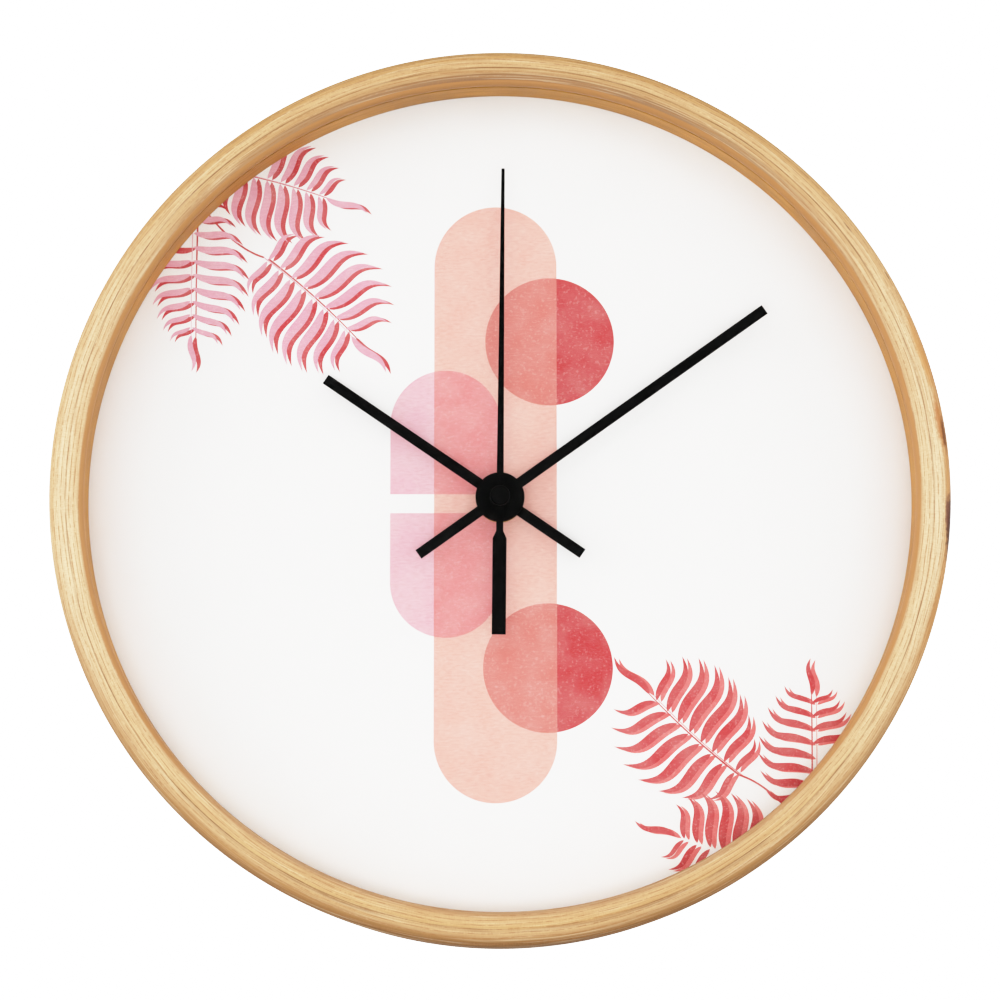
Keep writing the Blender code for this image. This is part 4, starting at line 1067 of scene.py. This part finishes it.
def hidden_parts():
    carry(hardboard(), "dial_board")
    carry(sawn_pine(), *(f"glue_block_{number}" for number in range(1, 5)))
    carry(wound_wire(), "coil_winding")
    wheels = [f"{name}_wheel" for name in ("centre", "third", "fifth", "second", "hour", "minute_works")]
    for finish, nodes in (
        ("zinc_steel", ("stator", "coil_core", "quartz_crystal")),
        ("brass", ("shaft_bush", "minute_pipe")),
        ("magnet", ("rotor_magnet",)),
        ("rubber", ("movement_gasket",)),
        ("circuit_board", ("circuit_board",)),
        ("black_plastic", ("chip_drop",)),
        ("natural_plastic", (*wheels, "rotor_pinion", "middle_plate", "rear_plate", "coil_bobbin")),
    ):
        carry(PLAIN[finish], *nodes)


shaft_fixings()
panel()
hanger()
for node in SCREWS:
    screw(node)
movement_back()
cell()
hidden_parts()


# Studio


CAMERA_DISTANCE = 1.12
CAMERA_BELOW = 6.9  # degrees that the camera looks up at the dial
CAMERA_LENS = 141.5
AIM = Vector((0, -DIAL_FRONT, AXIS_Z))  # the middle of the dial
FLOOR_BELOW, FLOOR_R = 0.6, 12
# Lamps, as (name, place from the hands' axis, width and height, power)
LAMPS = (
    ("left_light", (-1.4, -0.45, 0.2), (0.9, 0.9), 8.8),
    ("right_light", (1.4, -0.45, 0.2), (0.9, 0.9), 5.8),
    ("low_light", (0, -1.25, -0.30), (0.9, 0.25), 3.5),
)
# The room's light, as (degrees from straight ahead of the dial, strength): dim where a wall would be, and
# with a lamp straight behind for the back
ROOM = ((180, 3.2), (158, 3.2), (138, 1.0), (120, 0.2), (80, 0.2), (60, 0.5), (35, 0.8))
ROOM += ((24, 2.55), (13, 2.55), (9, 0.0), (0, 0.0))
ROOM_TONE = (1, 0.985, 0.965, 1)
EVEN_LIGHT = 0.69  # the room's share from all round, and what its left and right sides and its top add
SIDE_LIGHT, TOP_LIGHT = 1.75, 0.25
BRIGHTEST = 2.0  # light that shows as pure white
RESPONSE = ((0.25, 0.25), (0.5, 0.51), (0.75, 0.73), (1.0, 0.86), (1.25, 0.93), (1.6, 0.98))


def watching(name, data, place):
    """A camera or lamp at a place, which looks at the dial."""
    made = linked(name, data)
    made.location = place
    made.rotation_euler = (AIM - made.location).to_track_quat("-Z", "Y").to_euler()
    return made


def camera():
    data = bpy.data.cameras.new("camera")
    data.sensor_width = 36
    data.lens = CAMERA_LENS
    low = radians(CAMERA_BELOW)
    place = AIM - CAMERA_DISTANCE * Vector((0, cos(low), sin(low)))
    bpy.context.scene.camera = watching("camera", data, place)


def lamps():
    for name, place, (width, height), power in LAMPS:
        data = bpy.data.lights.new(name, "AREA")
        data.shape = "RECTANGLE"
        data.size, data.size_y, data.energy = width, height, power
        made = watching(name, data, Vector(place) + Vector((0, 0, AXIS_Z)))
        made.visible_camera = False
        made.visible_glossy = False  # or the lens would mirror its square face


def floor():
    bm = bmesh.new()
    bmesh.ops.create_circle(bm, cap_ends=True, segments=64, radius=FLOOR_R)
    bmesh.ops.translate(bm, verts=bm.verts, vec=(0, 0, AXIS_Z - FLOOR_BELOW))
    made = linked("floor", finish_mesh(bm, "floor"))
    made.data.materials.append(Nodes("floor_paint", Roughness=0.9).finish(colour(236, 235, 233)))


def room():
    """White behind the clock. Other rays meet a room lit from the front, mostly from the left and right, with
    a dark spot where the lens mirrors the camera."""
    world = bpy.data.worlds.new("studio")
    bpy.context.scene.world = world
    world.use_nodes = True
    nodes = Tree(world.node_tree)
    backdrop = nodes.tree.nodes["Background"]
    backdrop.inputs["Color"].default_value = (1, 1, 1, 1)
    backdrop.inputs["Strength"].default_value = BRIGHTEST

    direction = nodes.add("TexCoord").outputs["Generated"]
    low = radians(CAMERA_BELOW)
    ahead = nodes.times(nodes.math("ADD", nodes.dot(direction, (0, -cos(low), sin(low))), 1.0), 0.5)
    ring = nodes.ramp(ahead, [((cos(radians(angle)) + 1) / 2, value) for angle, value in ROOM])
    x, _, z = nodes.split(direction)
    sides = nodes.times(nodes.times(x, x), SIDE_LIGHT)
    shape = nodes.math("ADD", nodes.math("ADD", sides, nodes.times(z, TOP_LIGHT)), EVEN_LIGHT)
    around = nodes.add("Background", ROOM_TONE, nodes.times(ring, shape)).outputs[0]
    seen = nodes.add("LightPath").outputs["Is Camera Ray"]
    mixed = nodes.add("MixShader", seen, around, backdrop.outputs[0]).outputs[0]
    nodes.tree.links.new(mixed, nodes.tree.nodes["World Output"].inputs["Surface"])


def exposure():
    """A camera's response: straight up to the middle tones, and soft near white."""
    view = bpy.context.scene.view_settings
    view.view_transform = "Standard"
    view.use_curve_mapping = True
    view.curve_mapping.white_level = (BRIGHTEST,) * 3
    response = view.curve_mapping.curves[3]
    for light, shown in RESPONSE:
        response.points.new(light / BRIGHTEST, shown)
    view.curve_mapping.update()


camera()
floor()
room()
lamps()
exposure()
